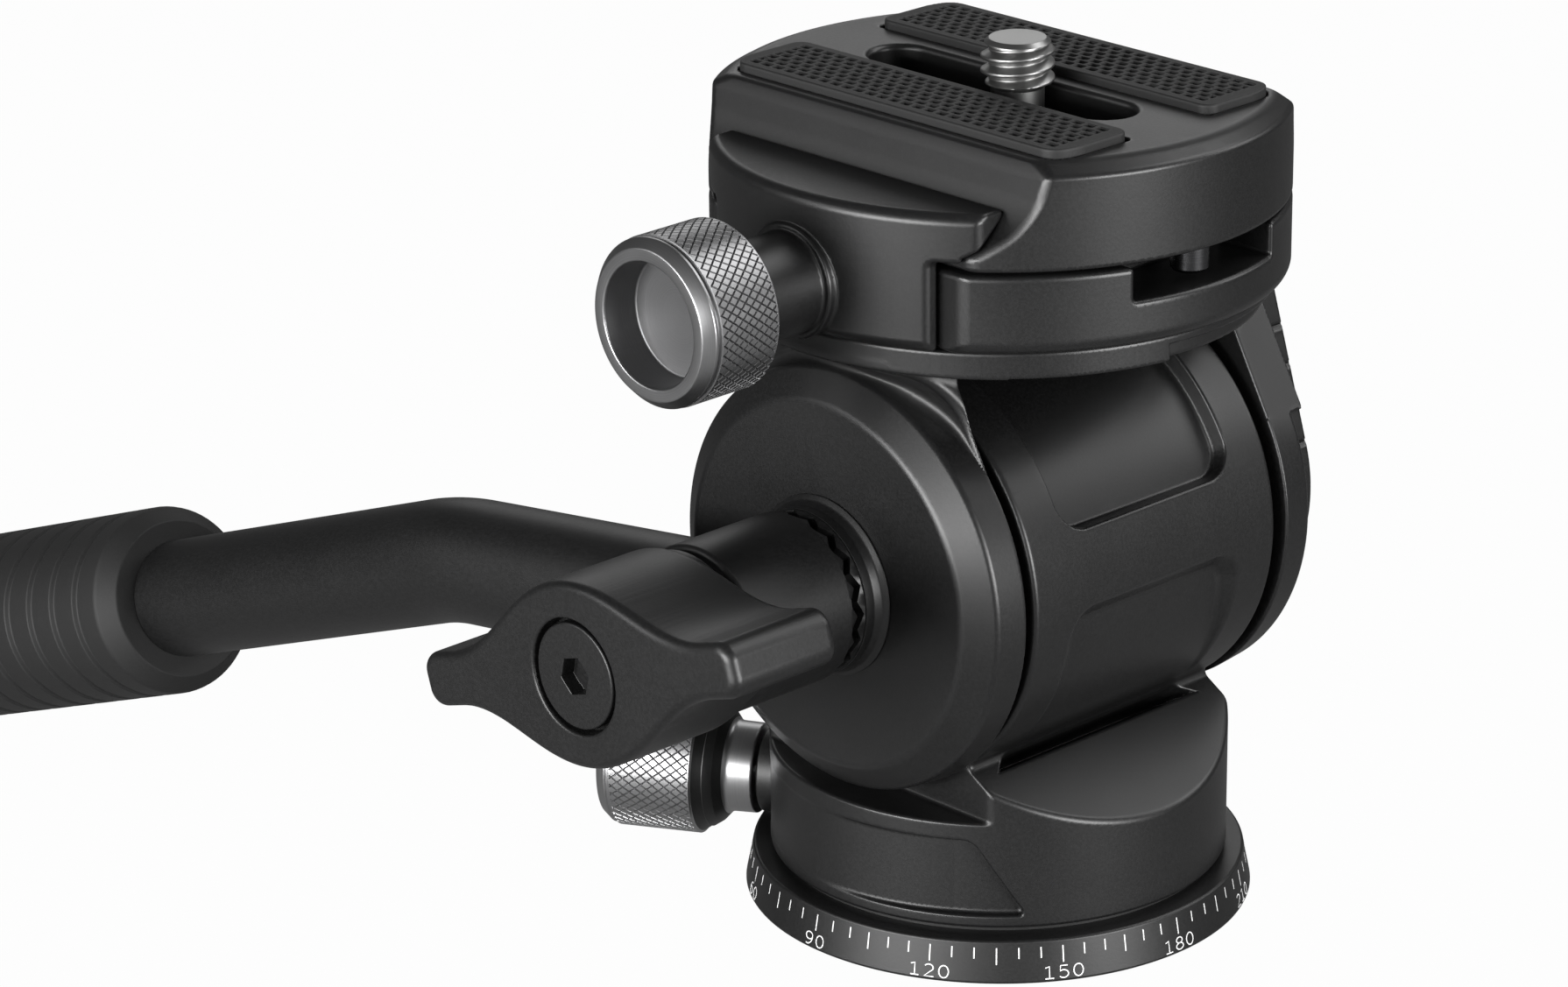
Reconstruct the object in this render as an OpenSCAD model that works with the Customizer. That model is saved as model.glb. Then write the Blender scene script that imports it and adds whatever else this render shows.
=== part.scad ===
// Compact fluid video head: turning base with a dial, tilt barrel and yoke, dovetail clamp,
// quick-release plate and a bent pan handle on a toothed rosette.
// Millimetres. +Z up, +X along the dovetail towards the lens, tilt axis along Y.
// The origin is the centre of the base's mounting face, on the pan axis.

/* [Turning base] */
// Radius of the pan drum
body_r = 20.4; // [19:0.1:24]
// How far the dial ring's foot stands out past the drum
dial_lip = 2.3; // [1.8:0.1:4]
// Height of the dial ring
dial_h = 3.8; // [3:0.1:4.2]
// Radius the dial's cone loses from foot to top
dial_taper = 0.75; // [0.2:0.05:1.5]
// Thickness of the slip washer under the drum
slip_t = 0.4; // [0.3:0.05:0.8]
// Radius of the pan spigot
spigot_r = 11; // [10.5:0.1:12]
// Outer radius of the tripod bush
insert_r = 7; // [6:0.1:7.4]
// Minor radius of the 3/8 inch tripod thread
tripod_r = 3.97; // [3.9:0.01:4.1]
// Depth of the tripod thread
tripod_depth = 9; // [7:0.1:9.4]

/* [Pan lock] */
// Direction of the pan-lock knob round the drum, degrees from +X
lock_az = 210; // [200:1:225]
// Height of the pan-lock knob's axis
lock_z = 8; // [7.8:0.1:8.1]
// Radius of the knurled part of the pan-lock knob
lock_r = 5.75; // [5:0.05:6.5]
// Length of the knurled part of the pan-lock knob
lock_len = 8.9; // [7:0.1:11]
// Radius of the pan-lock knob's neck
lock_neck_r = 3.5; // [3:0.05:3.8]
// Radius of the stud and the brake shoe
lock_stud_r = 1.7; // [1.4:0.05:1.7]

/* [Tilt barrel] */
// Height of the tilt axis
tilt_z = 34.2; // [34:0.1:38]
// Radius of the tilt barrel
barrel_r = 18.9; // [18:0.1:20]
// Half the length of the tilt barrel
barrel_half = 15.15; // [14.5:0.05:16.5]
// Half width of the shoulders where the barrel meets the drum
shoulder_x = 11.5; // [10.6:0.1:12.5]
// How far below the tilt axis the barrel meets the shoulders
shoulder_drop = 16; // [15.5:0.1:16.8]
// Fall of the shoulders, height lost per unit of width
shoulder_fall = 0.6; // [0.4:0.01:0.7]
// Half width of the barrel's recessed panels
panel_half = 10.65; // [8:0.05:12]
// Depth of the barrel's recessed panels
panel_depth = 1.5; // [0.8:0.1:2]
// Angles of the upper panel above the horizon, start and end
panel_up = [19.3, 78];
// Angles of the lower panel above the horizon, start and end
panel_low = [-50, -1];
// Radius of the tilt axle
axle_r = 5; // [4.6:0.1:5.4]
// Number of rotor discs in the fluid damper
rotor_n = 5; // [2:1:5]

/* [Yoke] */
// Gap between the barrel's ends and the cheeks
cheek_gap = 1.15; // [1:0.05:1.6]
// Thickness of a cheek
cheek_t = 5.15; // [4.6:0.05:6]
// How far the cheeks' rims stand out past the barrel
cheek_over = 0.25; // [0.1:0.05:0.6]
// Width and depth of the bevel round a cheek's face
cheek_bevel = [2.6, 1.85];
// Half width of the yoke's necks
neck_half = 11.3; // [10:0.1:12.5]
// Radius of the hollows that shape the necks
neck_r = 4.2; // [3.6:0.1:4.4]
// Gap between the barrel and the platform
plat_clear = 2.5; // [2:0.1:4]
// Thickness of the platform
plat_t = 2.4; // [2.2:0.1:4]
// Thickness of the ribbed side cover
cover_t = 3.25; // [2.6:0.05:4.5]
// Radius of the side cover's round lower part
cover_r = 14.9; // [14:0.1:15.6]
// Pitch, width and depth of the cover's grooves
cover_rib = [3.4, 1.1, 0.7];

/* [Clamp] */
// Radius of the clamp and the plate
clamp_r = 25; // [24.5:0.1:27]
// Height of the clamp's drum
clamp_t = 7; // [6.9:0.1:8]
// Thickness of the sliding jaw in front of the clamp
jaw_t = 5; // [4.6:0.1:5.2]
// Half width of the jaw's lower tongue
jaw_low_half = 12.55; // [12:0.05:13.5]
// Half width of the jaws' lips
jaw_half = 16.1; // [15.4:0.1:17]
// Height of the jaws' lips above the clamp
lip_h = 5.2; // [4.9:0.1:5.8]
// Half width, depth and inner wall of the stop windows
window = [8.4, 2.95, 17.5];
// Height of the clamp screw above the clamp's foot
screw_h = 4.35; // [4.2:0.05:4.4]
// Radius of the clamp screw
screw_r = 2; // [1.7:0.05:2]
// Radius and length of the jaw's knob boss
boss = [5.4, 8.1];
// Radius of the clamp knob's knurl
knob_r = 7.28; // [6.5:0.05:8]
// Length of the clamp knob
knob_len = 8.45; // [7:0.05:11]
// Radius and depth of the clamp knob's cup
knob_cup = [5.27, 3.2];

/* [Plate] */
// Thickness of the plate
plate_t = 9; // [8.6:0.1:10]
// Half widths of the plate at its top, waist and foot
plate_half = [14.5, 16, 19.55];
// Heights of the foot's wall and of the waist above the plate's underside
plate_rise = [1.1, 4.2];
// Width and height of the chamfer round the plate's top
plate_chamfer = [1.65, 0.95];
// Half length of the camera-screw slot
slot_half = 14.8; // [12:0.1:15.4]
// Half width of the camera-screw slot
slot_r = 2.8; // [2.6:0.05:3]
// Inner and outer edges of the grip strips from the plate's middle
strip_y = [4.75, 13.4];
// How far the grip strips stand up
strip_h = 0.75; // [0.4:0.05:1.2]
// Major radius of the 1/4 inch camera screw
camera_r = 3.175; // [3.05:0.005:3.2]
// How far the camera screw stands up
camera_h = 4.3; // [3.8:0.1:5.5]
// Where the camera screw stands along the slot
camera_x = 2; // [-6:0.1:6]
// Radius of the stop pins
stop_r = 1.68; // [1.2:0.02:1.9]

/* [Handle] */
// Outer radius of the rosette
rosette_r = 7.3; // [6.8:0.05:7.4]
// How far the rosette's tooth roots stand off the cheek
rosette_h = 2.3; // [2:0.05:3]
// Number of rosette teeth
tooth_n = 18; // [14:1:24]
// Height of the rosette teeth at the rim
tooth_h = 0.7; // [0.5:0.05:0.9]
// Radius and length of the pilot that centres the handle's eye on the rosette
pilot = [6, 2];
// Radius of the handle's eye
eye_r = 7.5; // [7.4:0.05:8]
// Length of the handle's eye
eye_len = 11.1; // [10.8:0.1:13]
// Radius of the handle bar
bar_r = 5.6; // [4.8:0.05:5.7]
// Slope of the bar before and after its bend, degrees below the horizon
bar_slope = [7.9, 20.6];
// Length of the bar before its bend, and its bend radius
bar_lead = [33.8, 30];
// Length of the bar after its bend
bar_len = 108; // [90:1:180]
// Length of the rubber grip
grip_len = 67; // [60:1:90]
// Radius of the rubber grip
grip_r = 9; // [8:0.1:12]
// Radius and length of the wing knob's hub
hub = [7.4, 13.15];
// Reach and half thickness of the wing knob's lobes
lobe = [18, 2.05];
// Angle the wing knob is turned to
wing_turn = 17.5; // [-90:0.5:90]
// Radius of the wing bolt
bolt_r = 3; // [2.6:0.05:3]
// Radius of the wing knob's cap
cap_r = 4.6; // [3.8:0.1:4.8]
// Width across the flats of the cap's hex socket
hex_af = 3; // [2.5:0.1:4]

/* [Clearances] */
// Radial clearance of a shaft that turns or slides in a hole
run_fit = 0.05; // [0.02:0.01:0.1]
// Gap between faces that move past one another
air = 0.3; // [0.25:0.05:0.4]
// Gap that stays between the tips of the rosette teeth
tip_gap = 0.1; // [0.05:0.05:0.2]

/* [Hidden] */
$fn = 96;
ring_r = body_r + dial_lip;
drum_z = dial_h + slip_t + run_fit;
room_z = drum_z + 5.7;
spigot_z = room_z + 0.4;
retainer_t = 1.6;
room_r = spigot_r + 2.9;
lock_seat = body_r - 0.5;
lock_gap_r = lock_seat + 1.7 + air;
lock_shoe = [spigot_r + air, spigot_r + 3.4];
lock_neck = 3.1;
lock_cone = 2.2;

cavity_r = barrel_r - 4.9;
cavity_y = [-9, 10.5];
bush_r = axle_r + 3;
flange_r = axle_r + 6;
rotor_t = 1.6;
rotor_gap = 0.4;

cheek_y = barrel_half + cheek_gap;
face_y = cheek_y + cheek_t;
cheek_r = barrel_r + cheek_over;
seat_z = tilt_z - cheek_r - 0.95;
plat_z = tilt_z + barrel_r + plat_clear;
neck_side = neck_half + 2.9;
neck_z = plat_z - neck_r;
nut_y = face_y - 2.4;

clamp_z = plat_z + plat_t;
clamp_top = clamp_z + clamp_t;
plat_r = clamp_r - 1.2;
jaw_y = clamp_r - jaw_t;
lip_top = clamp_top + lip_h;
jaw_z = clamp_z + 8;
screw_z = clamp_z + screw_h;
boss_y = clamp_r - 0.8;
knob_y = boss_y + boss[1] + air;
pin_x = 8;
pin_r = 1.5;
bolt_xy = [12.5, 9];

plate_z = clamp_top + air;
plate_top = plate_z + plate_t;
web_z = plate_top - 4.5;
recess_r = slot_r + 2.95;
slot_x = slot_half - slot_r;
neck_pin_r = slot_r - 0.5;
stop_x = clamp_r - 3.1;
strip_sunk = 0.5;

root_y = face_y + rosette_h;
eye_y = root_y + 2 * tooth_h + tip_gap;
eye_end = eye_y + eye_len;
washer_t = 0.6;
wing_y = eye_end + washer_t;
wing_end = wing_y + hub[1];
cap_y = wing_end - 1.6;
bar_y = (eye_y + eye_end) / 2;
bolt_tip = face_y - 9;

// A profile of [radius, distance] points turned about the pan axis.
module turned(points) {
    rotate_extrude() polygon(points);
}

// A profile of [radius, y] points turned about an axis along Y at height z.
// dir is 1 to measure y towards +Y and -1 to measure it towards -Y.
module turned_y(points, z = tilt_z, dir = -1) {
    translate([0, 0, z]) rotate([dir * -90, 0, 0]) turned(points);
}

// A plain rod along Y from y0 to y1, measured as in turned_y.
module rod_y(r, y0, y1, z = tilt_z, dir = -1, x = 0) {
    translate([x, dir * y0, z]) rotate([dir * -90, 0, 0]) cylinder(r = r, h = y1 - y0);
}

// A tube along Y.
module tube_y(r_in, r_out, y0, y1, z = tilt_z, dir = -1) {
    turned_y([[r_in, y0], [r_out, y0], [r_out, y1], [r_in, y1]], z, dir);
}

// A profile of [radius, distance] points turned about the pan lock's axis.
module turned_lock(points) {
    rotate([0, 0, lock_az]) translate([0, 0, lock_z]) rotate([0, 90, 0]) turned(points);
}

// An [x, z] outline pushed out along Y between two values of y.
module slab_y(y0, y1) {
    translate([0, y1, 0]) rotate([90, 0, 0]) linear_extrude(y1 - y0) children();
}

// A [y, z] outline pushed out along X, half to each side.
module slab_x(half) {
    rotate([90, 0, 90]) translate([0, 0, -half]) linear_extrude(2 * half) children();
}

// A straight slot outline along X.
module slot_outline(half, r) {
    square([2 * half, 2 * r], center = true);
    for (s = [-1, 1]) translate([s * half, 0]) circle(r);
}

// Turning base

module scale_ring() {
    color([0.06, 0.06, 0.065]) difference() {
        turned([[0, 0], [ring_r, 0], [ring_r - dial_taper, dial_h], [spigot_r, dial_h],
            [spigot_r, spigot_z], [0, spigot_z]]);
        translate([0, 0, -1]) cylinder(r = insert_r, h = tripod_depth + 1);
        retainer_screw_set(1, 1);
    }
}

module tripod_insert() {
    color([0.6, 0.6, 0.62]) turned([[tripod_r, 0], [insert_r, 0], [insert_r, tripod_depth],
        [tripod_r, tripod_depth]]);
}

module pan_washer() {
    color([0.75, 0.75, 0.72]) turned([[spigot_r + air, dial_h], [body_r - 0.7, dial_h],
        [body_r - 0.7, dial_h + slip_t], [spigot_r + air, dial_h + slip_t]]);
}

module pan_retainer() {
    color([0.55, 0.55, 0.57]) difference() {
        turned([[5, spigot_z], [room_r - air, spigot_z], [room_r - air, spigot_z + retainer_t],
            [5, spigot_z + retainer_t]]);
        retainer_screw_set(1, 1);
    }
}

module retainer_screw_set(shank_r, head_t) {
    ring = (insert_r + spigot_r) / 2;
    for (a = [30, 150, 270]) rotate([0, 0, a]) translate([ring, 0, spigot_z - 3.4])
        turned([[0, 0], [shank_r, 0], [shank_r, 3.4 + retainer_t - head_t],
            [shank_r + 0.8, 3.4 + retainer_t - head_t], [shank_r + 0.8, 3.4 + retainer_t],
            [0, 3.4 + retainer_t]]);
}

module retainer_screws() {
    color([0.5, 0.5, 0.52]) retainer_screw_set(1, 1);
}

// Pan body

module panel_cut(a0, a1) {
    translate([0, 0, tilt_z]) rotate([90, 0, 0]) translate([0, 0, -panel_half])
        rotate([0, 0, a0]) rotate_extrude(angle = a1 - a0)
            translate([barrel_r - panel_depth, 0]) square([panel_depth + 1, 2 * panel_half]);
}

module pan_body() {
    drop = shoulder_fall * (body_r + 1 - shoulder_x);
    shoulder_z = tilt_z - shoulder_drop;
    color([0.07, 0.07, 0.075]) difference() {
        union() {
            intersection() {
                translate([0, 0, drum_z]) cylinder(r = body_r, h = seat_z - drum_z);
                shoulder_slab(body_r + 1, drop, shoulder_z);
            }
            intersection() {
                translate([0, 0, drum_z]) cylinder(r = body_r, h = shoulder_z);
                shoulder_slab(barrel_half, drop, shoulder_z);
            }
            rod_y(barrel_r, -barrel_half, barrel_half);
        }
        translate([0, 0, drum_z - 1]) cylinder(r = spigot_r + run_fit, h = room_z - drum_z + 1.5);
        translate([0, 0, room_z]) cylinder(r = room_r, h = retainer_t + 0.9);
        rod_y(bush_r, cavity_y[0] - 1, barrel_half + 1);
        rod_y(cavity_r, cavity_y[0], cavity_y[1], dir = 1);
        rod_y(cavity_r + 1.4, cavity_y[1], barrel_half + 1, dir = 1);
        for (s = [0, 180]) rotate([0, 0, s]) {
            panel_cut(panel_up[0], panel_up[1]);
            panel_cut(panel_low[0], panel_low[1]);
        }
        turned_lock([[0, spigot_r - 2], [lock_stud_r + run_fit, spigot_r - 2],
            [lock_stud_r + run_fit, lock_seat - 3.4], [lock_stud_r + 1.2, lock_seat - 3.4],
            [lock_stud_r + 1.2, lock_seat], [lock_neck_r + 0.35, lock_seat],
            [lock_neck_r + 0.35, body_r + 3], [0, body_r + 3]]);
    }
}

// The sloping shoulders in front and behind, as wide as half_y to each side.
module shoulder_slab(half_y, drop, z) {
    reach = body_r + 1;
    inner = shoulder_x - 3;
    slab_y(-half_y, half_y) polygon([[-reach, drum_z - 1], [reach, drum_z - 1], [reach, z - drop],
        [inner, z + 3 * shoulder_fall], [-inner, z + 3 * shoulder_fall], [-reach, z - drop]]);
}

module pan_lock_collar() {
    color([0.04, 0.04, 0.045]) turned_lock([[lock_stud_r + run_fit, lock_seat - 3.4],
        [lock_stud_r + 1.2, lock_seat - 3.4], [lock_stud_r + 1.2, lock_seat],
        [lock_neck_r + 0.35, lock_seat], [lock_neck_r + 0.35, lock_seat + 1.7],
        [lock_stud_r + run_fit, lock_seat + 1.7]]);
}

module pan_lock_knob() {
    start = lock_gap_r;
    knurl = start + lock_neck + lock_cone;
    end = knurl + lock_len;
    color([0.72, 0.72, 0.74]) turned_lock([[lock_stud_r, start], [lock_neck_r, start],
        [lock_neck_r, start + lock_neck], [lock_r, knurl], [lock_r, end - 0.8],
        [lock_r - 0.8, end], [lock_r - 1.6, end], [lock_r - 1.6, end - 2.6], [0, end - 2.6],
        [0, knurl + 3], [lock_stud_r, knurl + 3]]);
}

module pan_lock_stud() {
    color([0.6, 0.6, 0.62]) turned_lock([[0, lock_shoe[1]], [lock_stud_r, lock_shoe[1]],
        [lock_stud_r, lock_gap_r + lock_neck + lock_cone + 3],
        [0, lock_gap_r + lock_neck + lock_cone + 3]]);
}

module pan_brake_shoe() {
    color([0.6, 0.42, 0.2]) turned_lock([[0, lock_shoe[0]], [lock_stud_r, lock_shoe[0]],
        [lock_stud_r, lock_shoe[1]], [0, lock_shoe[1]]]);
}

module flanged_bush(y0, dir) {
    turned_y([[axle_r + run_fit, y0], [bush_r, y0], [bush_r, barrel_half], [flange_r, barrel_half],
        [flange_r, cheek_y - air], [axle_r + run_fit, cheek_y - air]], tilt_z, dir);
}

module bush_left() {
    color([0.62, 0.45, 0.22]) flanged_bush(-cavity_y[0], -1);
}

module bush_right() {
    color([0.62, 0.45, 0.22]) flanged_bush(cavity_y[1], 1);
}

module bearing_plate() {
    color([0.5, 0.5, 0.52]) tube_y(bush_r, cavity_r + 1.4, cavity_y[1], barrel_half, dir = 1);
}

// Damper discs stand in turn along the axle: a rotor, then a stator, from the left end.
function disc_y(i) = cavity_y[0] + 0.6 + i * (rotor_t + rotor_gap);

module damper_stators() {
    color([0.5, 0.5, 0.52]) for (i = [0 : rotor_n - 2])
        tube_y(axle_r + 1, cavity_r, disc_y(2 * i + 1), disc_y(2 * i + 1) + rotor_t, dir = 1);
}

// Tilting yoke

module neck(dir, outer, flare) {
    difference() {
        translate([-neck_side, dir > 0 ? cheek_y : -plat_r, tilt_z])
            cube([2 * neck_side, plat_r - cheek_y, plat_z + 0.5 - tilt_z]);
        for (s = [-1, 1]) rod_y(neck_r, cheek_y - 1, plat_r + 1, neck_z, dir, s * (neck_half + neck_r));
        translate([0, dir * (outer + flare), plat_z - flare]) rotate([0, 90, 0])
            cylinder(r = flare, h = 4 * neck_side, center = true);
        translate([-2 * neck_side, dir > 0 ? outer : -plat_r - 1, tilt_z - 1])
            cube([4 * neck_side, plat_r + 1 - outer, plat_z - flare - tilt_z + 1]);
    }
}

module cheek(dir) {
    turned_y([[0, cheek_y], [cheek_r, cheek_y], [cheek_r - 0.3, face_y - cheek_bevel[1]],
        [cheek_r - 0.3 - cheek_bevel[0], face_y], [0, face_y]], tilt_z, dir);
}

module yoke() {
    color([0.07, 0.07, 0.075]) difference() {
        union() {
            translate([0, 0, plat_z]) cylinder(r = plat_r, h = plat_t);
            neck(-1, face_y - cheek_bevel[1] + 0.3, plat_z - neck_z);
            neck(1, face_y, air - run_fit);
            cheek(-1);
            cheek(1);
        }
        rod_y(axle_r, -face_y - 1, face_y + 1);
        rod_y(axle_r + 4, nut_y, face_y + 1, dir = 1);
        bolt_set();
        cover_screw_set();
    }
}

module tilt_axle() {
    color([0.62, 0.62, 0.64]) difference() {
        union() {
            rod_y(axle_r, -nut_y, root_y + pilot[1]);
            rod_y(axle_r - 1, nut_y, face_y - 0.2, dir = 1);
        }
        rod_y(bolt_r + run_fit, bolt_tip - 1.5, root_y + pilot[1] + 1);
    }
}

module axle_nut() {
    color([0.62, 0.62, 0.64]) tube_y(axle_r - 1, axle_r + 3.2, nut_y, face_y - 0.2, dir = 1);
}

module damper_rotors() {
    color([0.62, 0.62, 0.64]) for (i = [0 : rotor_n - 1])
        tube_y(axle_r, cavity_r - 1.5, disc_y(2 * i), disc_y(2 * i) + rotor_t, dir = 1);
}

module cover_outline() {
    top = plat_z - air - tilt_z;
    lean = 17;
    edge = [cover_r * cos(lean), cover_r * sin(lean)];
    half = edge[0] - tan(lean) * (top - edge[1]);
    difference() {
        union() {
            circle(cover_r);
            polygon([[edge[0], edge[1]], [half, top], [-half, top], [-edge[0], edge[1]]]);
        }
        for (i = [0 : 4], s = [-1, 1]) {
            z = top - 6.3 - i * cover_rib[0];
            side = z > edge[1] ? edge[0] - tan(lean) * (z - edge[1]) : sqrt(pow(cover_r, 2) - z * z);
            translate([s * (side - cover_rib[2]) - (s < 0 ? 4 : 0), z - cover_rib[1] / 2])
                square([4, cover_rib[1]]);
        }
    }
}

module side_cover() {
    color([0.05, 0.05, 0.055]) difference() {
        translate([0, 0, tilt_z]) slab_y(face_y, face_y + cover_t) cover_outline();
        cover_screw_set();
    }
}

module cover_screw_set() {
    for (a = [90, 210, 330]) translate([11.6 * cos(a), 0, 11.6 * sin(a)])
        turned_y([[0, face_y - 2.6], [1, face_y - 2.6], [1, face_y + cover_t - 1.2],
            [1.9, face_y + cover_t - 1.2], [1.9, face_y + cover_t], [0, face_y + cover_t]], tilt_z, 1);
}

module cover_screws() {
    color([0.3, 0.3, 0.31]) cover_screw_set();
}

// Radial teeth of a face coupling. Each one is a wedge whose four long edges all run to the centre,
// so that its height and width grow with the radius and two rings close on one another without a gap.
module teeth(phase) {
    k = tan(180 / tooth_n) * 0.94;
    lo = pilot[0] + 0.1;
    hi = (rosette_r - 0.05) * cos(180 / tooth_n);
    rise = tooth_h / hi;
    for (i = [0 : tooth_n - 1]) rotate([0, 0, (i + phase) * 360 / tooth_n]) polyhedron(
        points = [[lo, -lo * k, -0.05], [lo, lo * k, -0.05], [lo, 0, lo * rise],
            [hi, -hi * k, -0.05], [hi, hi * k, -0.05], [hi, 0, hi * rise]],
        faces = [[0, 1, 2], [3, 5, 4], [0, 3, 4, 1], [1, 4, 5, 2], [2, 5, 3, 0]]);
}

module rosette() {
    color([0.06, 0.06, 0.065]) {
        turned_y([[axle_r, face_y], [rosette_r + 0.95, face_y], [rosette_r + 0.35, face_y + 0.4],
            [rosette_r, face_y + 1], [rosette_r, root_y], [pilot[0], root_y],
            [pilot[0], root_y + pilot[1]], [axle_r, root_y + pilot[1]]]);
        translate([0, -root_y, tilt_z]) rotate([90, 0, 0]) teeth(0.5);
    }
}

// Clamp

module clamp_round(top, top_bevel) {
    turned([[0, clamp_z], [clamp_r - 0.8, clamp_z], [clamp_r, clamp_z + 0.75], [clamp_r, top - top_bevel],
        [clamp_r - top_bevel, top], [0, top]]);
}

// The inside line of a jaw's lip, from the clamp's top upwards, on the side of dir.
module lip_outline(dir, z0) {
    foot = plate_half[2] + air;
    waist = plate_half[1] + air;
    polygon([for (p = [[foot, z0], [foot, plate_z + plate_rise[0]], [waist, plate_z + plate_rise[1]],
        [waist, lip_top], [clamp_r + 1, lip_top], [clamp_r + 1, z0]]) [dir * p[0], p[1]]]);
}

module clamp_base() {
    color([0.07, 0.07, 0.075]) difference() {
        union() {
            clamp_round(clamp_top, 0.2);
            intersection() {
                clamp_round(lip_top, 0.6);
                slab_x(jaw_half) lip_outline(1, clamp_top - 0.5);
            }
        }
        translate([-clamp_r - 1, -clamp_r - 1, clamp_z - 1])
            cube([2 * clamp_r + 2, clamp_r + 1 - jaw_y, clamp_t + 2]);
        for (s = [-1, 1]) translate([s > 0 ? window[2] : -clamp_r - 1, -window[0], clamp_top - window[1]])
            cube([clamp_r + 1 - window[2], 2 * window[0], window[1] + 1]);
        rod_y(screw_r + run_fit, 3, jaw_y + 1, screw_z);
        for (s = [-1, 1]) rod_y(pin_r + run_fit, 8, jaw_y + 1, screw_z, x = s * pin_x);
        bolt_set();
    }
}

module bolt_set() {
    for (x = [-1, 1], y = [-1, 1]) translate([x * bolt_xy[0], y * bolt_xy[1], plat_z])
        turned([[0, 0], [2.8, 0], [2.8, 1.4], [1.5, 1.4], [1.5, plat_t + 4.4], [0, plat_t + 4.4]]);
}

module clamp_bolts() {
    color([0.3, 0.3, 0.31]) bolt_set();
}

module clamp_jaw() {
    color([0.07, 0.07, 0.075]) difference() {
        union() {
            intersection() {
                clamp_round(lip_top, 0.6);
                union() {
                    slab_x(jaw_half) lip_outline(-1, jaw_z);
                    difference() {
                        translate([-jaw_low_half, -clamp_r - 1, clamp_z])
                            cube([2 * jaw_low_half, clamp_r + 1 - jaw_y - air, jaw_z + 0.2 - clamp_z]);
                        translate([-jaw_low_half - 1, -plate_half[2] - air, clamp_top])
                            cube([2 * jaw_low_half + 2, clamp_r, lip_h]);
                    }
                }
            }
            turned_y([[0, boss_y], [boss[0] + 1, boss_y], [boss[0] + 0.4, boss_y + 0.9],
                [boss[0], boss_y + 1.9], [boss[0], boss_y + boss[1]], [0, boss_y + boss[1]]], screw_z);
        }
        rod_y(screw_r + run_fit, jaw_y - 1, knob_y + 1, screw_z);
        for (s = [-1, 1]) rod_y(pin_r, jaw_y - 1, jaw_y + 2.7, screw_z, x = s * pin_x);
    }
}

module guide_pins() {
    color([0.65, 0.65, 0.67]) for (s = [-1, 1])
        rod_y(pin_r, 10, jaw_y + 2.7, screw_z, x = s * pin_x);
}

module clamp_screw() {
    color([0.6, 0.6, 0.62]) rod_y(screw_r, 8, knob_y + 3, screw_z);
}

module clamp_knob() {
    end = knob_y + knob_len;
    color([0.72, 0.72, 0.74]) turned_y([[screw_r, knob_y], [knob_r - 0.5, knob_y], [knob_r, knob_y + 0.4],
        [knob_r, end - 0.85], [knob_r - 0.85, end], [knob_cup[0], end], [knob_cup[0], end - knob_cup[1]],
        [0, end - knob_cup[1]], [0, knob_y + 3], [screw_r, knob_y + 3]], screw_z);
}

// Plate

module plate() {
    color([0.06, 0.06, 0.065]) difference() {
        intersection() {
            turned([[0, plate_z], [clamp_r, plate_z], [clamp_r, plate_top - plate_chamfer[1]],
                [clamp_r - plate_chamfer[0], plate_top], [0, plate_top]]);
            slab_x(clamp_r + 1) plate_outline();
        }
        translate([0, 0, plate_z - 1]) linear_extrude(plate_t + 2) slot_outline(slot_x, slot_r);
        translate([0, 0, plate_z - 1]) linear_extrude(web_z - plate_z + 1) slot_outline(slot_x, recess_r);
        for (s = [-1, 1]) translate([s * stop_x, 0, plate_z - 1]) cylinder(r = stop_r, h = 5);
        strip_set(plate_top - strip_sunk, plate_top + 1);
    }
}

module plate_outline() {
    half = [[plate_half[2], plate_z], [plate_half[2], plate_z + plate_rise[0]],
        [plate_half[1], plate_z + plate_rise[1]], [plate_half[0] + 0.55, plate_top - 0.7],
        [plate_half[0], plate_top]];
    polygon(concat(half, [for (i = [4 : -1 : 0]) [-half[i][0], half[i][1]]]));
}

module strip_set(z0, z1) {
    for (s = [-1, 1]) intersection() {
        translate([0, 0, z0]) cylinder(r = clamp_r - 2.2, h = z1 - z0);
        translate([-clamp_r + 5.5, s > 0 ? strip_y[0] : -strip_y[1], z0])
            cube([2 * clamp_r - 11, strip_y[1] - strip_y[0], z1 - z0]);
    }
}

module grip_strips() {
    color([0.03, 0.03, 0.03]) strip_set(plate_top - strip_sunk, plate_top + strip_h);
}

module stop_pins() {
    color([0.3, 0.3, 0.31]) for (s = [-1, 1]) translate([s * stop_x, 0, clamp_top - window[1] + 0.5])
        cylinder(r = stop_r, h = window[1] - 0.5 + air + 4);
}

module slot_washer() {
    color([0.7, 0.7, 0.72]) translate([camera_x, 0, 0]) turned([[neck_pin_r + run_fit, web_z - 0.9],
        [recess_r - 0.75, web_z - 0.9], [recess_r - 0.75, web_z - 0.1], [neck_pin_r + run_fit, web_z - 0.1]]);
}

module camera_screw() {
    head = web_z - 1;
    top = plate_top + camera_h;
    color([0.75, 0.75, 0.77]) difference() {
        translate([camera_x, 0, 0]) turned([[0, head - 2.4], [recess_r - 0.75, head - 2.4],
            [recess_r - 0.75, head], [neck_pin_r, head], [neck_pin_r, plate_top + 0.3],
            [camera_r, plate_top + 0.4], [camera_r, top - 0.8], [camera_r - 0.8, top], [0, top]]);
        translate([camera_x - recess_r, -0.7, head - 3]) cube([2 * recess_r, 1.4, 1.9]);
    }
}

// Handle

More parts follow.
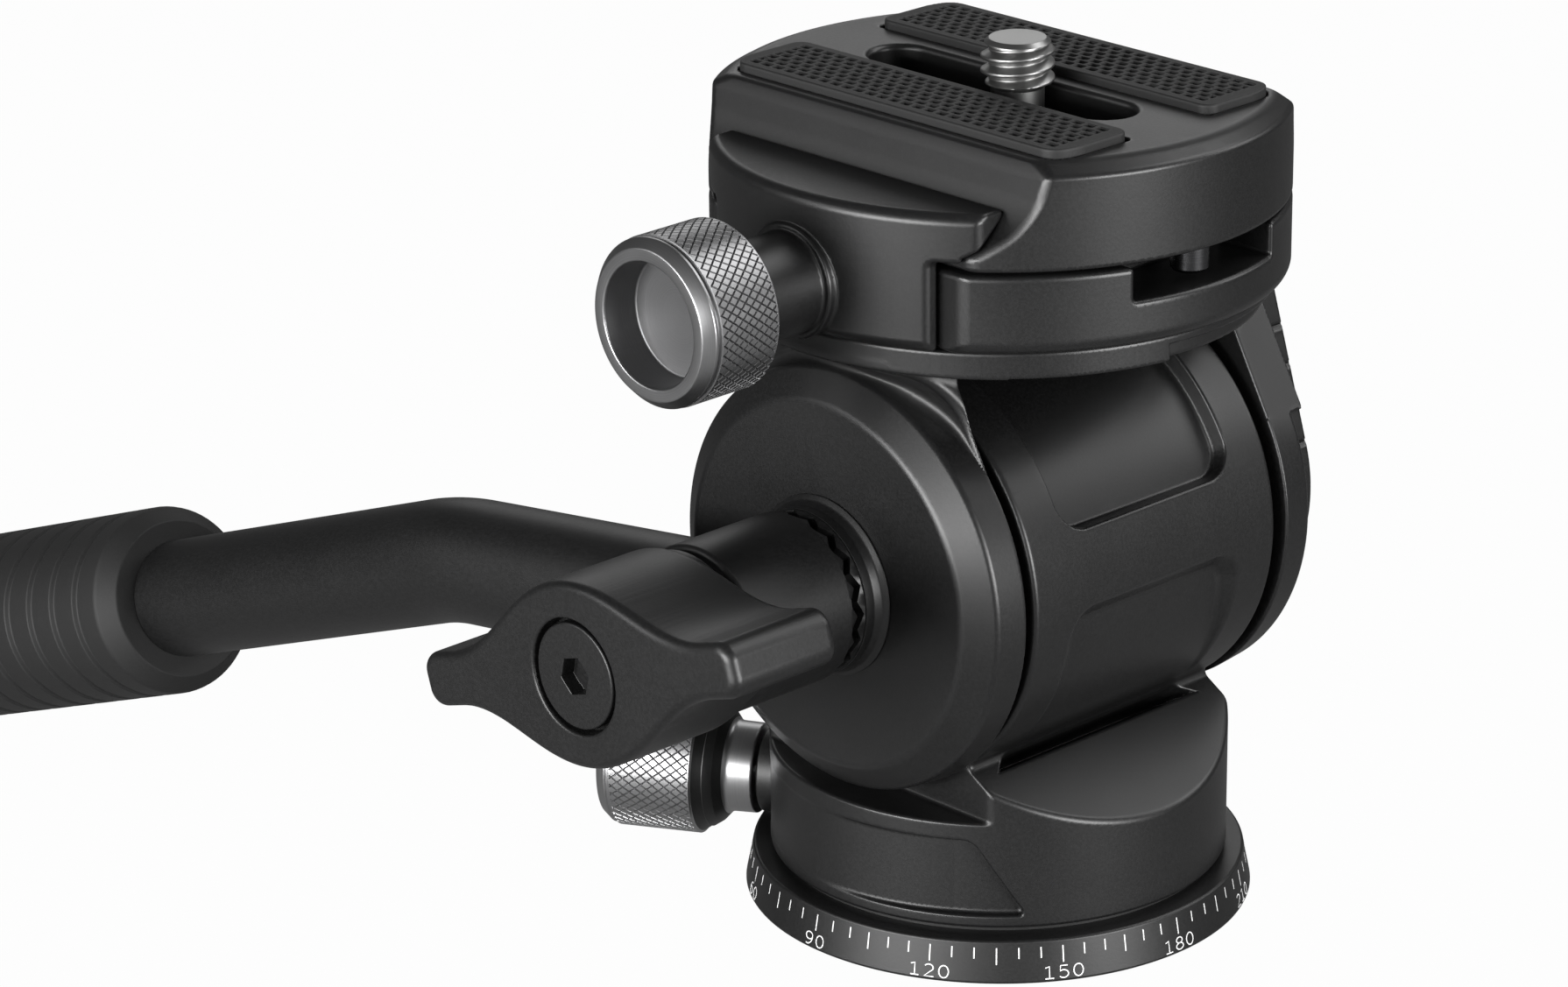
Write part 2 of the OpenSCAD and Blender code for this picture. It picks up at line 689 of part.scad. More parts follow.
module handle_eye() {
    color([0.06, 0.06, 0.065]) difference() {
        union() {
            rod_y(eye_r, eye_y, eye_end);
            translate([0, -eye_y, tilt_z]) rotate([-90, 0, 0]) teeth(0);
        }
        rod_y(bolt_r + air, eye_y - 3, eye_end + 1);
        rod_y(pilot[0] + run_fit, eye_y - 3, root_y + pilot[1] + tooth_h + air);
        along_bar() translate([0, 0, axle_r]) cylinder(r = bar_r - 1.6, h = eye_r);
    }
}

// Puts the bar's start on the tilt axis with its line along +Z of the child.
module along_bar() {
    translate([0, -bar_y, tilt_z]) rotate([0, -90 - bar_slope[0], 0]) children();
}

// Puts the child at the end of the bend, with the bar's second line along +Z.
module past_bend() {
    along_bar() translate([-bar_lead[1], 0, bar_lead[0]]) rotate([0, bar_slope[0] - bar_slope[1], 0])
        translate([bar_lead[1], 0, 0]) children();
}

// The bend is a hair thicker than the straight lengths, and each of them reaches a little way into it.
module handle_bar() {
    bend = bar_slope[1] - bar_slope[0];
    skin = 0.02;
    lap = 0.5;
    color([0.05, 0.05, 0.055]) {
        difference() {
            along_bar() cylinder(r = bar_r, h = bar_lead[0] + lap);
            rod_y(eye_r, bar_y - 2 * bar_r, bar_y + 2 * bar_r);
        }
        along_bar() translate([0, 0, axle_r + 0.2]) cylinder(r = bar_r - 1.6, h = eye_r);
        along_bar() translate([-bar_lead[1], 0, bar_lead[0]]) rotate([90, 0, 0])
            rotate_extrude(angle = bend) translate([bar_lead[1], 0]) circle(bar_r + skin);
        past_bend() turned([[0, -lap], [bar_r, -lap], [bar_r, bar_len - grip_len],
            [bar_r - 1, bar_len - grip_len], [bar_r - 1, bar_len], [0, bar_len]]);
    }
}

module handle_grip() {
    start = bar_len - grip_len;
    color([0.03, 0.03, 0.03]) past_bend() turned([[bar_r - 1, start], [grip_r - 1.2, start],
        [grip_r, start + 1.6], [grip_r, bar_len - 1], [bar_r - 1, bar_len - 1]]);
}

module end_cap() {
    color([0.05, 0.05, 0.055]) past_bend() turned([[0, bar_len], [bar_r - 1, bar_len],
        [bar_r - 1, bar_len - 1], [grip_r, bar_len - 1], [grip_r, bar_len + 2], [grip_r - 1.4, bar_len + 3.4],
        [0, bar_len + 3.4]]);
}

module wing_washer() {
    color([0.6, 0.6, 0.62]) tube_y(bolt_r, eye_r - 0.8, eye_end, wing_y);
}

module wing_outline() {
    offset(r = -9, $fn = 60) offset(r = 9, $fn = 60) {
        circle(hub[0]);
        offset(r = 1.6, $fn = 24) square([2 * lobe[0] - 3.2, 2 * lobe[1] - 3.2], center = true);
    }
}

module wing_knob() {
    color([0.06, 0.06, 0.065]) difference() {
        union() {
            rod_y(hub[0], wing_y, wing_end - 1);
            translate([0, 0, tilt_z]) rotate([0, -wing_turn, 0]) slab_y(-wing_end, -wing_y - 1.6) wing_outline();
        }
        rod_y(bolt_r, wing_y - 1, wing_end + 1);
        rod_y(cap_r + 0.4, cap_y, wing_end + 1);
    }
}

module wing_bolt() {
    color([0.62, 0.62, 0.64]) rod_y(bolt_r, bolt_tip, cap_y);
}

module wing_cap() {
    color([0.05, 0.05, 0.055]) difference() {
        rod_y(cap_r, cap_y, wing_end - 0.15);
        translate([0, 0, tilt_z]) rotate([0, -wing_turn, 0]) translate([0, 0, -tilt_z])
            translate([0, -cap_y - 0.4, tilt_z]) rotate([90, 0, 0])
                cylinder(r = hex_af / sqrt(3), h = 3, $fn = 6);
    }
}

scale_ring();
tripod_insert();
pan_washer();
pan_retainer();
retainer_screws();
pan_body();
pan_lock_collar();
pan_lock_knob();
pan_lock_stud();
pan_brake_shoe();
bush_left();
bush_right();
bearing_plate();
damper_stators();
yoke();
tilt_axle();
axle_nut();
damper_rotors();
side_cover();
cover_screws();
rosette();
clamp_base();
clamp_bolts();
clamp_jaw();
guide_pins();
clamp_screw();
clamp_knob();
plate();
grip_strips();
stop_pins();
slot_washer();
camera_screw();
handle_eye();
handle_bar();
handle_grip();
end_cap();
wing_washer();
wing_knob();
wing_bolt();
wing_cap();
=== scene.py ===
"""Looks of a compact fluid video head: its visible pieces, their finishes, the studio and the camera.

Sizes are in millimetres, as in the solids, and become metres when a mesh is made.
"""
import math

import bmesh
import bpy
import numpy as np
from mathutils import Matrix, Vector


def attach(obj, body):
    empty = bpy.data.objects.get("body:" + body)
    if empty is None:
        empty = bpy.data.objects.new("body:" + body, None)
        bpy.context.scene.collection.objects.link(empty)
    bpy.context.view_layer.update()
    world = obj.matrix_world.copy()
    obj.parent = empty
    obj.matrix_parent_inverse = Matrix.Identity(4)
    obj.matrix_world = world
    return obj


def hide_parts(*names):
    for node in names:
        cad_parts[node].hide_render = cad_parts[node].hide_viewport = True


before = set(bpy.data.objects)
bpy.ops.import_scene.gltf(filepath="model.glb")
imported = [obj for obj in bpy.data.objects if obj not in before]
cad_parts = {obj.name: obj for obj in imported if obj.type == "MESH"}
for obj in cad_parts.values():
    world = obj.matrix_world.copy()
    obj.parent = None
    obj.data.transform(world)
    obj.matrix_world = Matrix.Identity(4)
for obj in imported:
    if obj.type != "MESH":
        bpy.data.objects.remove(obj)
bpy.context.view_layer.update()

MM = 0.001
FINE = 1.0

# Sizes that more than one piece takes.
DIAL_R = 22.7
DIAL_H = 3.8
DIAL_TAPER = 0.75
DRUM_R = 20.4
LOCK_AZ = math.radians(210)
LOCK_Z = 8
TILT_Z = 34.2
BARREL_R = 18.9
BARREL_HALF = 15.15
CHEEK_IN = 16.3
CHEEK_OUT = 21.45
COVER_R = 14.9
COVER_SCREW_R = 11.6
COVER_SCREWS = (90, 210, 330)
PLATFORM_R = 23.8
PLATFORM_Z = 55.6
BOLT_X = 12.5
BOLT_Y = 9
CLAMP_R = 25
CLAMP_Z = 58
SCREW_Z = 62.35
PIN_X = 8
JAW_HALF = 16.1
JAW_TOP = 70.2
STOP_X = 21.9
CAMERA_X = 2
TEETH = 18
TOOTH_H = 0.7
WING_TURN = math.radians(17.5)

# The handle's bar: straight from the eye, through a bend, then straight to the grip.
EYE_R = 7.5
BAR_R = 5.6
BAR_Y = -30.8
BAR_LEAD = 33.8
BAR_BEND = 30.0
BAR_FIRST = math.radians(7.9)
BAR_TURN = math.radians(20.6) - BAR_FIRST
BAR_BENT = BAR_LEAD + BAR_BEND * BAR_TURN

# The floor lies below the handle's reach at every pose.
FLOOR_Z = -132.0
FLOOR_HALF = 3000


# Shapes as distance fields: each one is below nought inside the metal.

def meet(a, b, r=0.0):
    """Where both shapes are, with the edge between them rounded to a radius, which may vary from place
    to place."""
    if np.ndim(r) == 0 and not r:
        return np.maximum(a, b)
    return np.minimum(-r, np.maximum(a, b)) + np.hypot(np.maximum(r + a, 0), np.maximum(r + b, 0))


def join(a, b, r=0.0):
    """Both shapes together, with a fillet of radius r between them."""
    return -meet(-a, -b, r)


def cut(a, b, r=0.0):
    """The first shape less the second, with the edge rounded to radius r."""
    return meet(a, -b, r)


def band(v, low, high):
    return np.abs(v - (low + high) / 2) - (high - low) / 2


def plane(u, v, at, way):
    """Distance past a line in the plane of u and v, through a point, with its outward direction."""
    size = math.hypot(*way)
    return ((u - at[0]) * way[0] + (v - at[1]) * way[1]) / size


def soft_box(u, v, half_u, half_v, r):
    a = np.abs(u) - half_u + r
    b = np.abs(v) - half_v + r
    return np.hypot(np.maximum(a, 0), np.maximum(b, 0)) + np.minimum(np.maximum(a, b), 0) - r


def slot_line(u, v, half, r):
    return np.hypot(np.maximum(np.abs(u) - half, 0), v) - r


def hexagon(u, v, flats):
    a, b = np.abs(u), np.abs(v)
    return np.maximum(a, a * 0.5 + b * 0.8660254) - flats / 2


# Skins: meshes drawn over a distance field.

CORNERS = [(i, j, k) for i in (0, 1) for j in (0, 1) for k in (0, 1)]
EDGES = [(a, b) for a in range(8) for b in range(a) if bin(a ^ b).count("1") == 1]
BLOCK = 8


def slope(field, p, h=0.01):
    """The field's gradient at each point."""
    out = np.empty_like(p)
    for i in range(3):
        ahead, behind = p.copy(), p.copy()
        ahead[:, i] += h
        behind[:, i] -= h
        out[:, i] = (field(*ahead.T) - field(*behind.T)) / (2 * h)
    return out


def settled(field, p, rounds):
    """Moves points on to the surface."""
    for _ in range(rounds):
        g = slope(field, p)
        move = field(*p.T) / np.maximum((g * g).sum(1), 0.2)
        p = p - g * np.clip(move, -0.3, 0.3)[:, None]
    return p


def surface(field, low, high, step):
    """Points and quads of the surface, found block by block on a grid of that step."""
    low = np.array(low, float) - 1.37 * step
    size = BLOCK * step
    count = np.ceil((np.array(high) + 1.5 * step - low) / size).astype(int)
    middles = [low[i] + (np.arange(count[i]) + 0.5) * size for i in range(3)]
    grid = np.stack(np.meshgrid(*middles, indexing="ij"), -1).reshape(-1, 3)
    near = np.abs(field(*grid.T)) < 1.2 * size
    blocks = np.argwhere(near.reshape(count))
    local = np.stack(np.meshgrid(*[np.arange(BLOCK + 1)] * 3, indexing="ij"), -1)
    corner = blocks[:, None, None, None, :] * BLOCK + local
    value = field(*(low + step * corner.reshape(-1, 3)).T).reshape(corner.shape[:-1])
    value = np.stack([value[:, i:i + BLOCK, j:j + BLOCK, k:k + BLOCK] for i, j, k in CORNERS], -1)
    inside = value < 0
    mixed = inside.any(-1) & ~inside.all(-1)
    value, inside = value[mixed], inside[mixed]
    cell = corner[:, :BLOCK, :BLOCK, :BLOCK][mixed]
    total, hits = np.zeros((len(cell), 3)), np.zeros(len(cell))
    ends = np.array(CORNERS, float)
    for a, b in EDGES:
        crossed = inside[:, a] != inside[:, b]
        t = np.where(crossed, value[:, a] / np.where(crossed, value[:, a] - value[:, b], 1), 0)
        total += np.where(crossed[:, None], ends[a] + t[:, None] * (ends[b] - ends[a]), 0)
        hits += crossed
    points = low + step * (cell + total / hits[:, None])
    wide = count * BLOCK + 1
    code = np.array([wide[1] * wide[2], wide[2], 1])
    key = cell @ code
    order = np.argsort(key)
    ranked = key[order]
    quads = []
    for axis, far in enumerate((4, 2, 1)):
        crossed = inside[:, 0] != inside[:, far]
        u, v = np.eye(3, dtype=int)[[(axis + 1) % 3, (axis + 2) % 3]]
        ring = [cell[crossed] - s * u - t * v for s, t in ((0, 0), (1, 0), (1, 1), (0, 1))]
        place = [np.minimum(np.searchsorted(ranked, c @ code), len(ranked) - 1) for c in ring]
        found = np.all([ranked[p] == c @ code for p, c in zip(place, ring)], axis=0)
        face = np.stack([order[p] for p in place], -1)[found]
        flip = ~inside[:, 0][crossed][found]
        face[flip] = face[flip][:, ::-1]
        quads.append(face)
    return settled(field, points, 3), np.concatenate(quads)


def mesh_of(name, points, faces):
    mesh = bpy.data.meshes.new(name)
    mesh.from_pydata(np.asarray(points, float) * MM, [], faces)
    mesh.update()
    return mesh


def skin(name, field, low, high, step, keep):
    """A mesh over the field, thinned out where it is flat, with the field's own normals."""
    points, quads = surface(field, low, high, step * FINE)
    rough = bpy.data.objects.new(name + "_draft", mesh_of(name + "_draft", points, quads.tolist()))
    bpy.context.collection.objects.link(rough)
    thin = rough.modifiers.new("thin", "DECIMATE")
    thin.ratio = min(1.0, keep * FINE)
    thin.use_collapse_triangulate = True
    view = bpy.context.evaluated_depsgraph_get()
    mesh = bpy.data.meshes.new_from_object(rough.evaluated_get(view))
    mesh.name = name
    bpy.data.objects.remove(rough)
    flat = np.empty(len(mesh.vertices) * 3)
    mesh.vertices.foreach_get("co", flat)
    points = settled(field, flat.reshape(-1, 3) / MM, 1)
    mesh.vertices.foreach_set("co", (points * MM).ravel())
    normals = slope(field, points)
    normals /= np.maximum(np.linalg.norm(normals, axis=1), 1e-9)[:, None]
    # The stored curvature marks convex edges for the painted edge highlight in the finishes.
    bend = sum(field(*(points + s * 0.3 * np.eye(3)[i]).T) for i in range(3) for s in (-1, 1)) / 0.09
    edge = mesh.attributes.new("edge", "FLOAT", "POINT")
    edge.data.foreach_set("value", np.clip(bend / 4, -1, 1).astype(np.float32))
    mesh.polygons.foreach_set("use_smooth", np.ones(len(mesh.polygons), bool))
    mesh.normals_split_custom_set_from_vertices(normals)
    mesh.update()
    return mesh


# Turned pieces: a profile of radii and heights swept about an axis.

def softened(points, steps=4):
    """A closed or open profile with each corner that names a radius turned into an arc."""
    out = []
    count = len(points)
    closed = points[0][0] > 0 or points[-1][0] > 0
    for i, (r, h, *soft) in enumerate(points):
        here = Vector((r, h))
        if not soft or not soft[0] or (not closed and i in (0, count - 1)):
            out.append((r, h))
            continue
        back = Vector(points[i - 1][:2]) - here
        on = Vector(points[(i + 1) % count][:2]) - here
        half = back.angle(on) / 2
        reach = min(soft[0] / math.tan(half), 0.49 * back.length, 0.49 * on.length)
        back.normalize()
        on.normalize()
        radius = reach * math.tan(half)
        centre = here + (back + on).normalized() * (radius / math.sin(half))
        start, end = here + back * reach - centre, here + on * reach - centre
        for k in range(steps + 1):
            spoke = start.lerp(end, k / steps).normalized() * radius
            out.append(tuple(centre + spoke))
    return out


def turned(rings, turns=96):
    """Points and faces of a turned shape. A ring is (radius, height) or (radius, height, shape), where
    shape gives each angle's change of radius and height. It closes on itself unless it starts and ends
    on the axis."""
    angle = np.arange(turns) * 2 * np.pi / turns
    points, index = [], []
    for r, h, *shape in rings:
        start = len(points)
        if r < 1e-6:
            points.append((0.0, 0.0, h))
            index.append([start] * turns)
            continue
        dr, dh = shape[0](angle) if shape else (0.0, 0.0)
        rad, high = r + dr + 0 * angle, h + dh + 0 * angle
        points.extend(zip(rad * np.cos(angle), rad * np.sin(angle), high))
        index.append(list(range(start, start + turns)))
    closed = rings[0][0] > 1e-6 and rings[-1][0] > 1e-6
    faces = []
    for j in range(len(rings) if closed else len(rings) - 1):
        a, b = index[j], index[(j + 1) % len(rings)]
        steep = len(rings[j]) > 2 and len(rings[(j + 1) % len(rings)]) > 2
        for i in range(turns):
            n = (i + 1) % turns
            ring = [a[i], a[n], b[n], b[i]]
            if steep and math.dist(points[a[i]], points[b[n]]) > math.dist(points[a[n]], points[b[i]]):
                faces += [[a[i], a[n], b[i]], [a[n], b[n], b[i]]]
            elif steep:
                faces += [[a[i], a[n], b[n]], [a[i], b[n], b[i]]]
            else:
                faces.append(list(dict.fromkeys(ring)))
    return points, [f for f in faces if len(f) > 2]


def upright(x):
    return Matrix.Translation((x, 0, 0))


def towards_handle(z):
    """Puts a turned piece's axis along -Y at height z, with its height measured from the middle plane."""
    return Matrix.Translation((0, 0, z)) @ Matrix.Rotation(math.pi / 2, 4, "X")


PAN_LOCK = Matrix.Rotation(LOCK_AZ, 4, "Z") @ Matrix.Translation((0, 0, LOCK_Z)) \
    @ Matrix.Rotation(math.pi / 2, 4, "Y")


def placed(shape, place):
    points, faces = shape
    turn = np.array(place)
    return np.asarray(points) @ turn[:3, :3].T + turn[:3, 3], faces


def several(*shapes):
    points, faces = [], []
    for p, f in shapes:
        faces += [[i + len(points) for i in face] for face in f]
        points += [tuple(v) for v in p]
    return points, faces


def hard_mesh(name, shape, angle=38):
    """A mesh with outward faces, smooth but for its sharp edges."""
    mesh = mesh_of(name, *shape)
    work = bmesh.new()
    work.from_mesh(mesh)
    bmesh.ops.recalc_face_normals(work, faces=work.faces)
    work.to_mesh(mesh)
    work.free()
    mesh.polygons.foreach_set("use_smooth", np.ones(len(mesh.polygons), bool))
    mesh.set_sharp_from_angle(angle=math.radians(angle))
    return mesh


def piece(mesh, body, slot, finish, *nodes):
    """Shows a mesh as one piece of the head, on its body and in place of its solids."""
    obj = bpy.data.objects.new(mesh.name, mesh)
    bpy.context.collection.objects.link(obj)
    mesh.materials.clear()
    mesh.materials.append(finish)
    if not mesh.has_custom_normals:
        even = obj.modifiers.new("even", "WEIGHTED_NORMAL")
        even.keep_sharp = True
    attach(obj, body)
    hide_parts(*nodes)
    return obj


# Finishes

def put(tree, kind, setup=None, **inputs):
    """A node with its settings and inputs: a socket is linked, anything else is set."""
    node = tree.nodes.new(kind)
    for name, value in (setup or {}).items():
        setattr(node, name, value)
    for name, value in inputs.items():
        socket = node.inputs[int(name[2:])] if name[:2] == "at" else node.inputs[name.replace("_", " ")]
        if isinstance(value, bpy.types.NodeSocket):
            tree.links.new(value, socket)
        else:
            socket.default_value = value
    return node


def group(name, takes, gives):
    """An empty shared effect with its named inputs and outputs."""
    tree = bpy.data.node_groups.new(name, "ShaderNodeTree")
    for label, kind, value in takes:
        socket = tree.interface.new_socket(label, in_out="INPUT", socket_type=kind)
        socket.default_value = value
    for label, kind in gives:
        tree.interface.new_socket(label, in_out="OUTPUT", socket_type=kind)
    return tree, put(tree, "NodeGroupInput").outputs, put(tree, "NodeGroupOutput")


def math_of(tree, operation, *values):
    return put(tree, "ShaderNodeMath", {"operation": operation},
               **{f"at{i}": v for i, v in enumerate(values)}).outputs[0]


def spread(tree, value, low, high, to_low=0.0, to_high=1.0):
    return put(tree, "ShaderNodeMapRange", {"interpolation_type": "SMOOTHSTEP"}, Value=value, From_Min=low,
               From_Max=high, To_Min=to_low, To_Max=to_high).outputs[0]


def blasted_group():
    """Fine bead-blasted grain with slow clouding, and a painted sheen on convex edges: lighter colour and lower
    roughness there stand in for their highlights.
    """
    tree, takes, out = group(
        "Blasted grain and painted edge sheen",
        [("Grain", "NodeSocketFloat", 4.0), ("Rub", "NodeSocketFloat", 1.0)],
        [("Shade", "NodeSocketFloat"), ("Roughness", "NodeSocketFloat"), ("Height", "NodeSocketFloat")])
    place = put(tree, "ShaderNodeTexCoord").outputs["Object"]
    scale = math_of(tree, "MULTIPLY", takes["Grain"], 1000.0)
    fine = put(tree, "ShaderNodeTexNoise", Vector=place, Scale=scale, Detail=2.0, Roughness=0.6).outputs[0]
    cloud = put(tree, "ShaderNodeTexNoise", Vector=place, Scale=90.0, Detail=3.0).outputs[0]
    edge = put(tree, "ShaderNodeAttribute", {"attribute_name": "edge"}).outputs["Fac"]
    # Painted highlight: the edge mask makes convex edges lighter in colour, standing in for the highlights on
    # their roundings.
    rub = math_of(tree, "MULTIPLY", spread(tree, edge, 0.06, 0.5), takes["Rub"])
    rub = math_of(tree, "MULTIPLY", rub, spread(tree, cloud, 0.3, 0.7, 0.45, 1.0))
    speck = spread(tree, fine, 0.35, 0.72)
    shade = math_of(tree, "MULTIPLY_ADD", speck, 0.55, math_of(tree, "MULTIPLY", cloud, 0.25))
    shade = math_of(tree, "MULTIPLY_ADD", rub, 0.6, shade)
    rough = math_of(tree, "MULTIPLY_ADD", cloud, 0.10, math_of(tree, "MULTIPLY", fine, 0.10))
    rough = math_of(tree, "MULTIPLY_ADD", rub, -0.08, rough)
    for socket, value in zip(("Shade", "Roughness", "Height"), (shade, rough, fine)):
        tree.links.new(value, out.inputs[socket])
    return tree


def turned_group():
    """Fine rings that a lathe tool leaves round an axis, given the distance from that axis and along it."""
    tree, takes, out = group(
        "Tool rings",
        [("Across", "NodeSocketFloat", 0.0), ("Along", "NodeSocketFloat", 0.0)],
        [("Shade", "NodeSocketFloat"), ("Roughness", "NodeSocketFloat"), ("Height", "NodeSocketFloat")])
    way = math_of(tree, "ADD", takes["Across"], takes["Along"])
    rings = put(tree, "ShaderNodeTexNoise", {"noise_dimensions": "1D"}, W=way, Scale=9000.0, Detail=3.0,
                Roughness=0.7).outputs[0]
    place = put(tree, "ShaderNodeTexCoord").outputs["Object"]
    haze = put(tree, "ShaderNodeTexNoise", Vector=place, Scale=260.0, Detail=4.0).outputs[0]
    shade = math_of(tree, "MULTIPLY_ADD", rings, 0.7, math_of(tree, "MULTIPLY", haze, 0.2))
    rough = math_of(tree, "MULTIPLY_ADD", rings, 0.08, math_of(tree, "MULTIPLY", haze, 0.05))
    for socket, value in zip(("Shade", "Roughness", "Height"), (shade, rough, rings)):
        tree.links.new(value, out.inputs[socket])
    return tree


BLASTED = blasted_group()
RINGS = turned_group()


def blank(owner):
    """The emptied node tree of a material or a world."""
    owner.use_nodes = True
    owner.node_tree.nodes.clear()
    return owner.node_tree


def material(name, **constants):
    """A new finish with its shader, and the constants set on the shader's own sockets."""
    made = bpy.data.materials.new(name)
    tree = blank(made)
    shader = put(tree, "ShaderNodeBsdfPrincipled")
    for label, value in constants.items():
        shader.inputs[label.replace("_", " ")].default_value = value
    out = put(tree, "ShaderNodeOutputMaterial")
    tree.links.new(shader.outputs[0], out.inputs["Surface"])
    return made, tree, shader


def wired(tree, shader, effect, dark, light, rough, bump, depth):
    """Feeds an effect's shade, roughness and height into the shader."""
    colour = put(tree, "ShaderNodeMix", {"data_type": "RGBA"}, at0=effect["Shade"], at6=(*dark, 1),
                 at7=(*light, 1))
    tree.links.new(colour.outputs[2], shader.inputs["Base Color"])
    tree.links.new(math_of(tree, "ADD", effect["Roughness"], rough), shader.inputs["Roughness"])
    relief = put(tree, "ShaderNodeBump", Strength=bump, Distance=depth * MM, Height=effect["Height"])
    tree.links.new(relief.outputs[0], shader.inputs["Normal"])


def blasted(name, dark, light, rough, grain=4.0, rub=1.0, bump=0.25, **constants):
    """A bead-blasted or moulded finish."""
    made, tree, shader = material(name, **constants)
    effect = put(tree, "ShaderNodeGroup", {"node_tree": BLASTED}, Grain=grain, Rub=rub).outputs
    wired(tree, shader, effect, dark, light, rough, bump, 0.02)
    return made


def lathed(name, dark, light, rough, axis):
    """A turned metal finish. The axis is a point on it and its direction."""
    made, tree, shader = material(name, Metallic=1.0)
    place = put(tree, "ShaderNodeTexCoord").outputs["Object"]
    point, way = axis
    arm = put(tree, "ShaderNodeVectorMath", {"operation": "SUBTRACT"}, at0=place,
              at1=[c * MM for c in point]).outputs[0]
    along = put(tree, "ShaderNodeVectorMath", {"operation": "DOT_PRODUCT"}, at0=arm, at1=way).outputs["Value"]
    side = put(tree, "ShaderNodeVectorMath", {"operation": "CROSS_PRODUCT"}, at0=arm, at1=way).outputs[0]
    across = put(tree, "ShaderNodeVectorMath", {"operation": "LENGTH"}, at0=side).outputs["Value"]
    effect = put(tree, "ShaderNodeGroup", {"node_tree": RINGS}, Across=across, Along=along).outputs
    wired(tree, shader, effect, dark, light, rough, 0.2, 0.004)
    return made


ALONG_Y = (0.0, 1.0, 0.0)
ALONG_Z = (0.0, 0.0, 1.0)
LOCK_WAY = (math.cos(LOCK_AZ), math.sin(LOCK_AZ), 0.0)
LOCK_AXIS = ((0, 0, LOCK_Z), LOCK_WAY)
CLAMP_AXIS = ((0, 0, SCREW_Z), ALONG_Y)
TILT_AXIS = ((0, 0, TILT_Z), ALONG_Y)
PAN_AXIS = ((0, 0, 0), ALONG_Z)
CAMERA_AXIS = ((CAMERA_X, 0, 0), ALONG_Z)
STOP_AXIS = ((STOP_X, 0, 0), ALONG_Z)

DEEP = (0.002, 0.002, 0.002)
ANODISED = (0.007, 0.007, 0.0072)
BLACK = blasted("black_anodised", DEEP, ANODISED, 0.32)
PLATE_BLACK = blasted("black_anodised_plate", DEEP, ANODISED, 0.32)
DIAL_BLACK = blasted("black_dial", DEEP, ANODISED, 0.32)
BAR_BLACK = blasted("black_bar", DEEP, ANODISED, 0.34, grain=3.2)
WING_BLACK = blasted("black_wing", DEEP, (0.008, 0.008, 0.0082), 0.34, grain=3.4, bump=0.4)
TRIM_BLACK = blasted("black_trim", DEEP, (0.006, 0.006, 0.006), 0.32, grain=5.0)
RUBBER = blasted("grip_rubber", (0.003, 0.003, 0.003), (0.009, 0.009, 0.009), 0.55, grain=5.0, rub=0.5,
                 bump=0.5)
PRINT = blasted("white_print", (0.72, 0.72, 0.72), (0.9, 0.9, 0.9), 0.35, grain=6.0, rub=0.0, bump=0.1)
KNOB = lathed("bright_knob", (0.22, 0.22, 0.223), (0.36, 0.36, 0.364), 0.28, CLAMP_AXIS)
# Painted shade: the knob's cup takes a darker finish than the rest of the knob, for the shade inside that
# recess.
KNOB_CUP_SHADE = lathed("knob_cup", (0.14, 0.14, 0.142), (0.23, 0.23, 0.233), 0.4, CLAMP_AXIS)
LOCK_KNOB = lathed("bright_lock_knob", (0.3, 0.3, 0.304), (0.46, 0.46, 0.465), 0.26, LOCK_AXIS)
SCREW_STEEL = lathed("screw_steel", (0.22, 0.22, 0.218), (0.36, 0.36, 0.355), 0.3, CAMERA_AXIS)
PIN_STEEL = lathed("pin_steel", (0.06, 0.06, 0.062), (0.13, 0.13, 0.135), 0.2, STOP_AXIS)
TILT_STEEL = lathed("inner_steel", (0.4, 0.4, 0.41), (0.6, 0.6, 0.61), 0.18, TILT_AXIS)
BASE_STEEL = lathed("base_steel", (0.4, 0.4, 0.41), (0.6, 0.6, 0.61), 0.2, PAN_AXIS)
BRONZE = lathed("sintered_bronze", (0.34, 0.22, 0.1), (0.5, 0.34, 0.17), 0.26, TILT_AXIS)
# The pan washer is near black, which keeps the gap between the drum and the dial dark.
NYLON = blasted("dark_gap_nylon", (0.003, 0.003, 0.003), (0.008, 0.008, 0.008), 0.45, grain=2.0, rub=0.0)
BOLT_BLACK = blasted("black_oxide", (0.02, 0.02, 0.021), (0.05, 0.05, 0.052), 0.22, grain=3.0, Metallic=0.6)


# Pan body

def drum_recess(x, y, z):
    """How far the drum's side stands back inside the shallow recess beside each shoulder."""
    az = np.degrees(np.arctan2(-np.abs(y), x))
    depth = 0.85 * np.clip((az + 97) / 40, 0, 1)
    end = (az + 52 - (12.3 - z) * 1.9) * 0.356
    wall = meet(meet(end, 5.4 - z, 0.8), z - 12.45, 0.8)
    return depth, wall


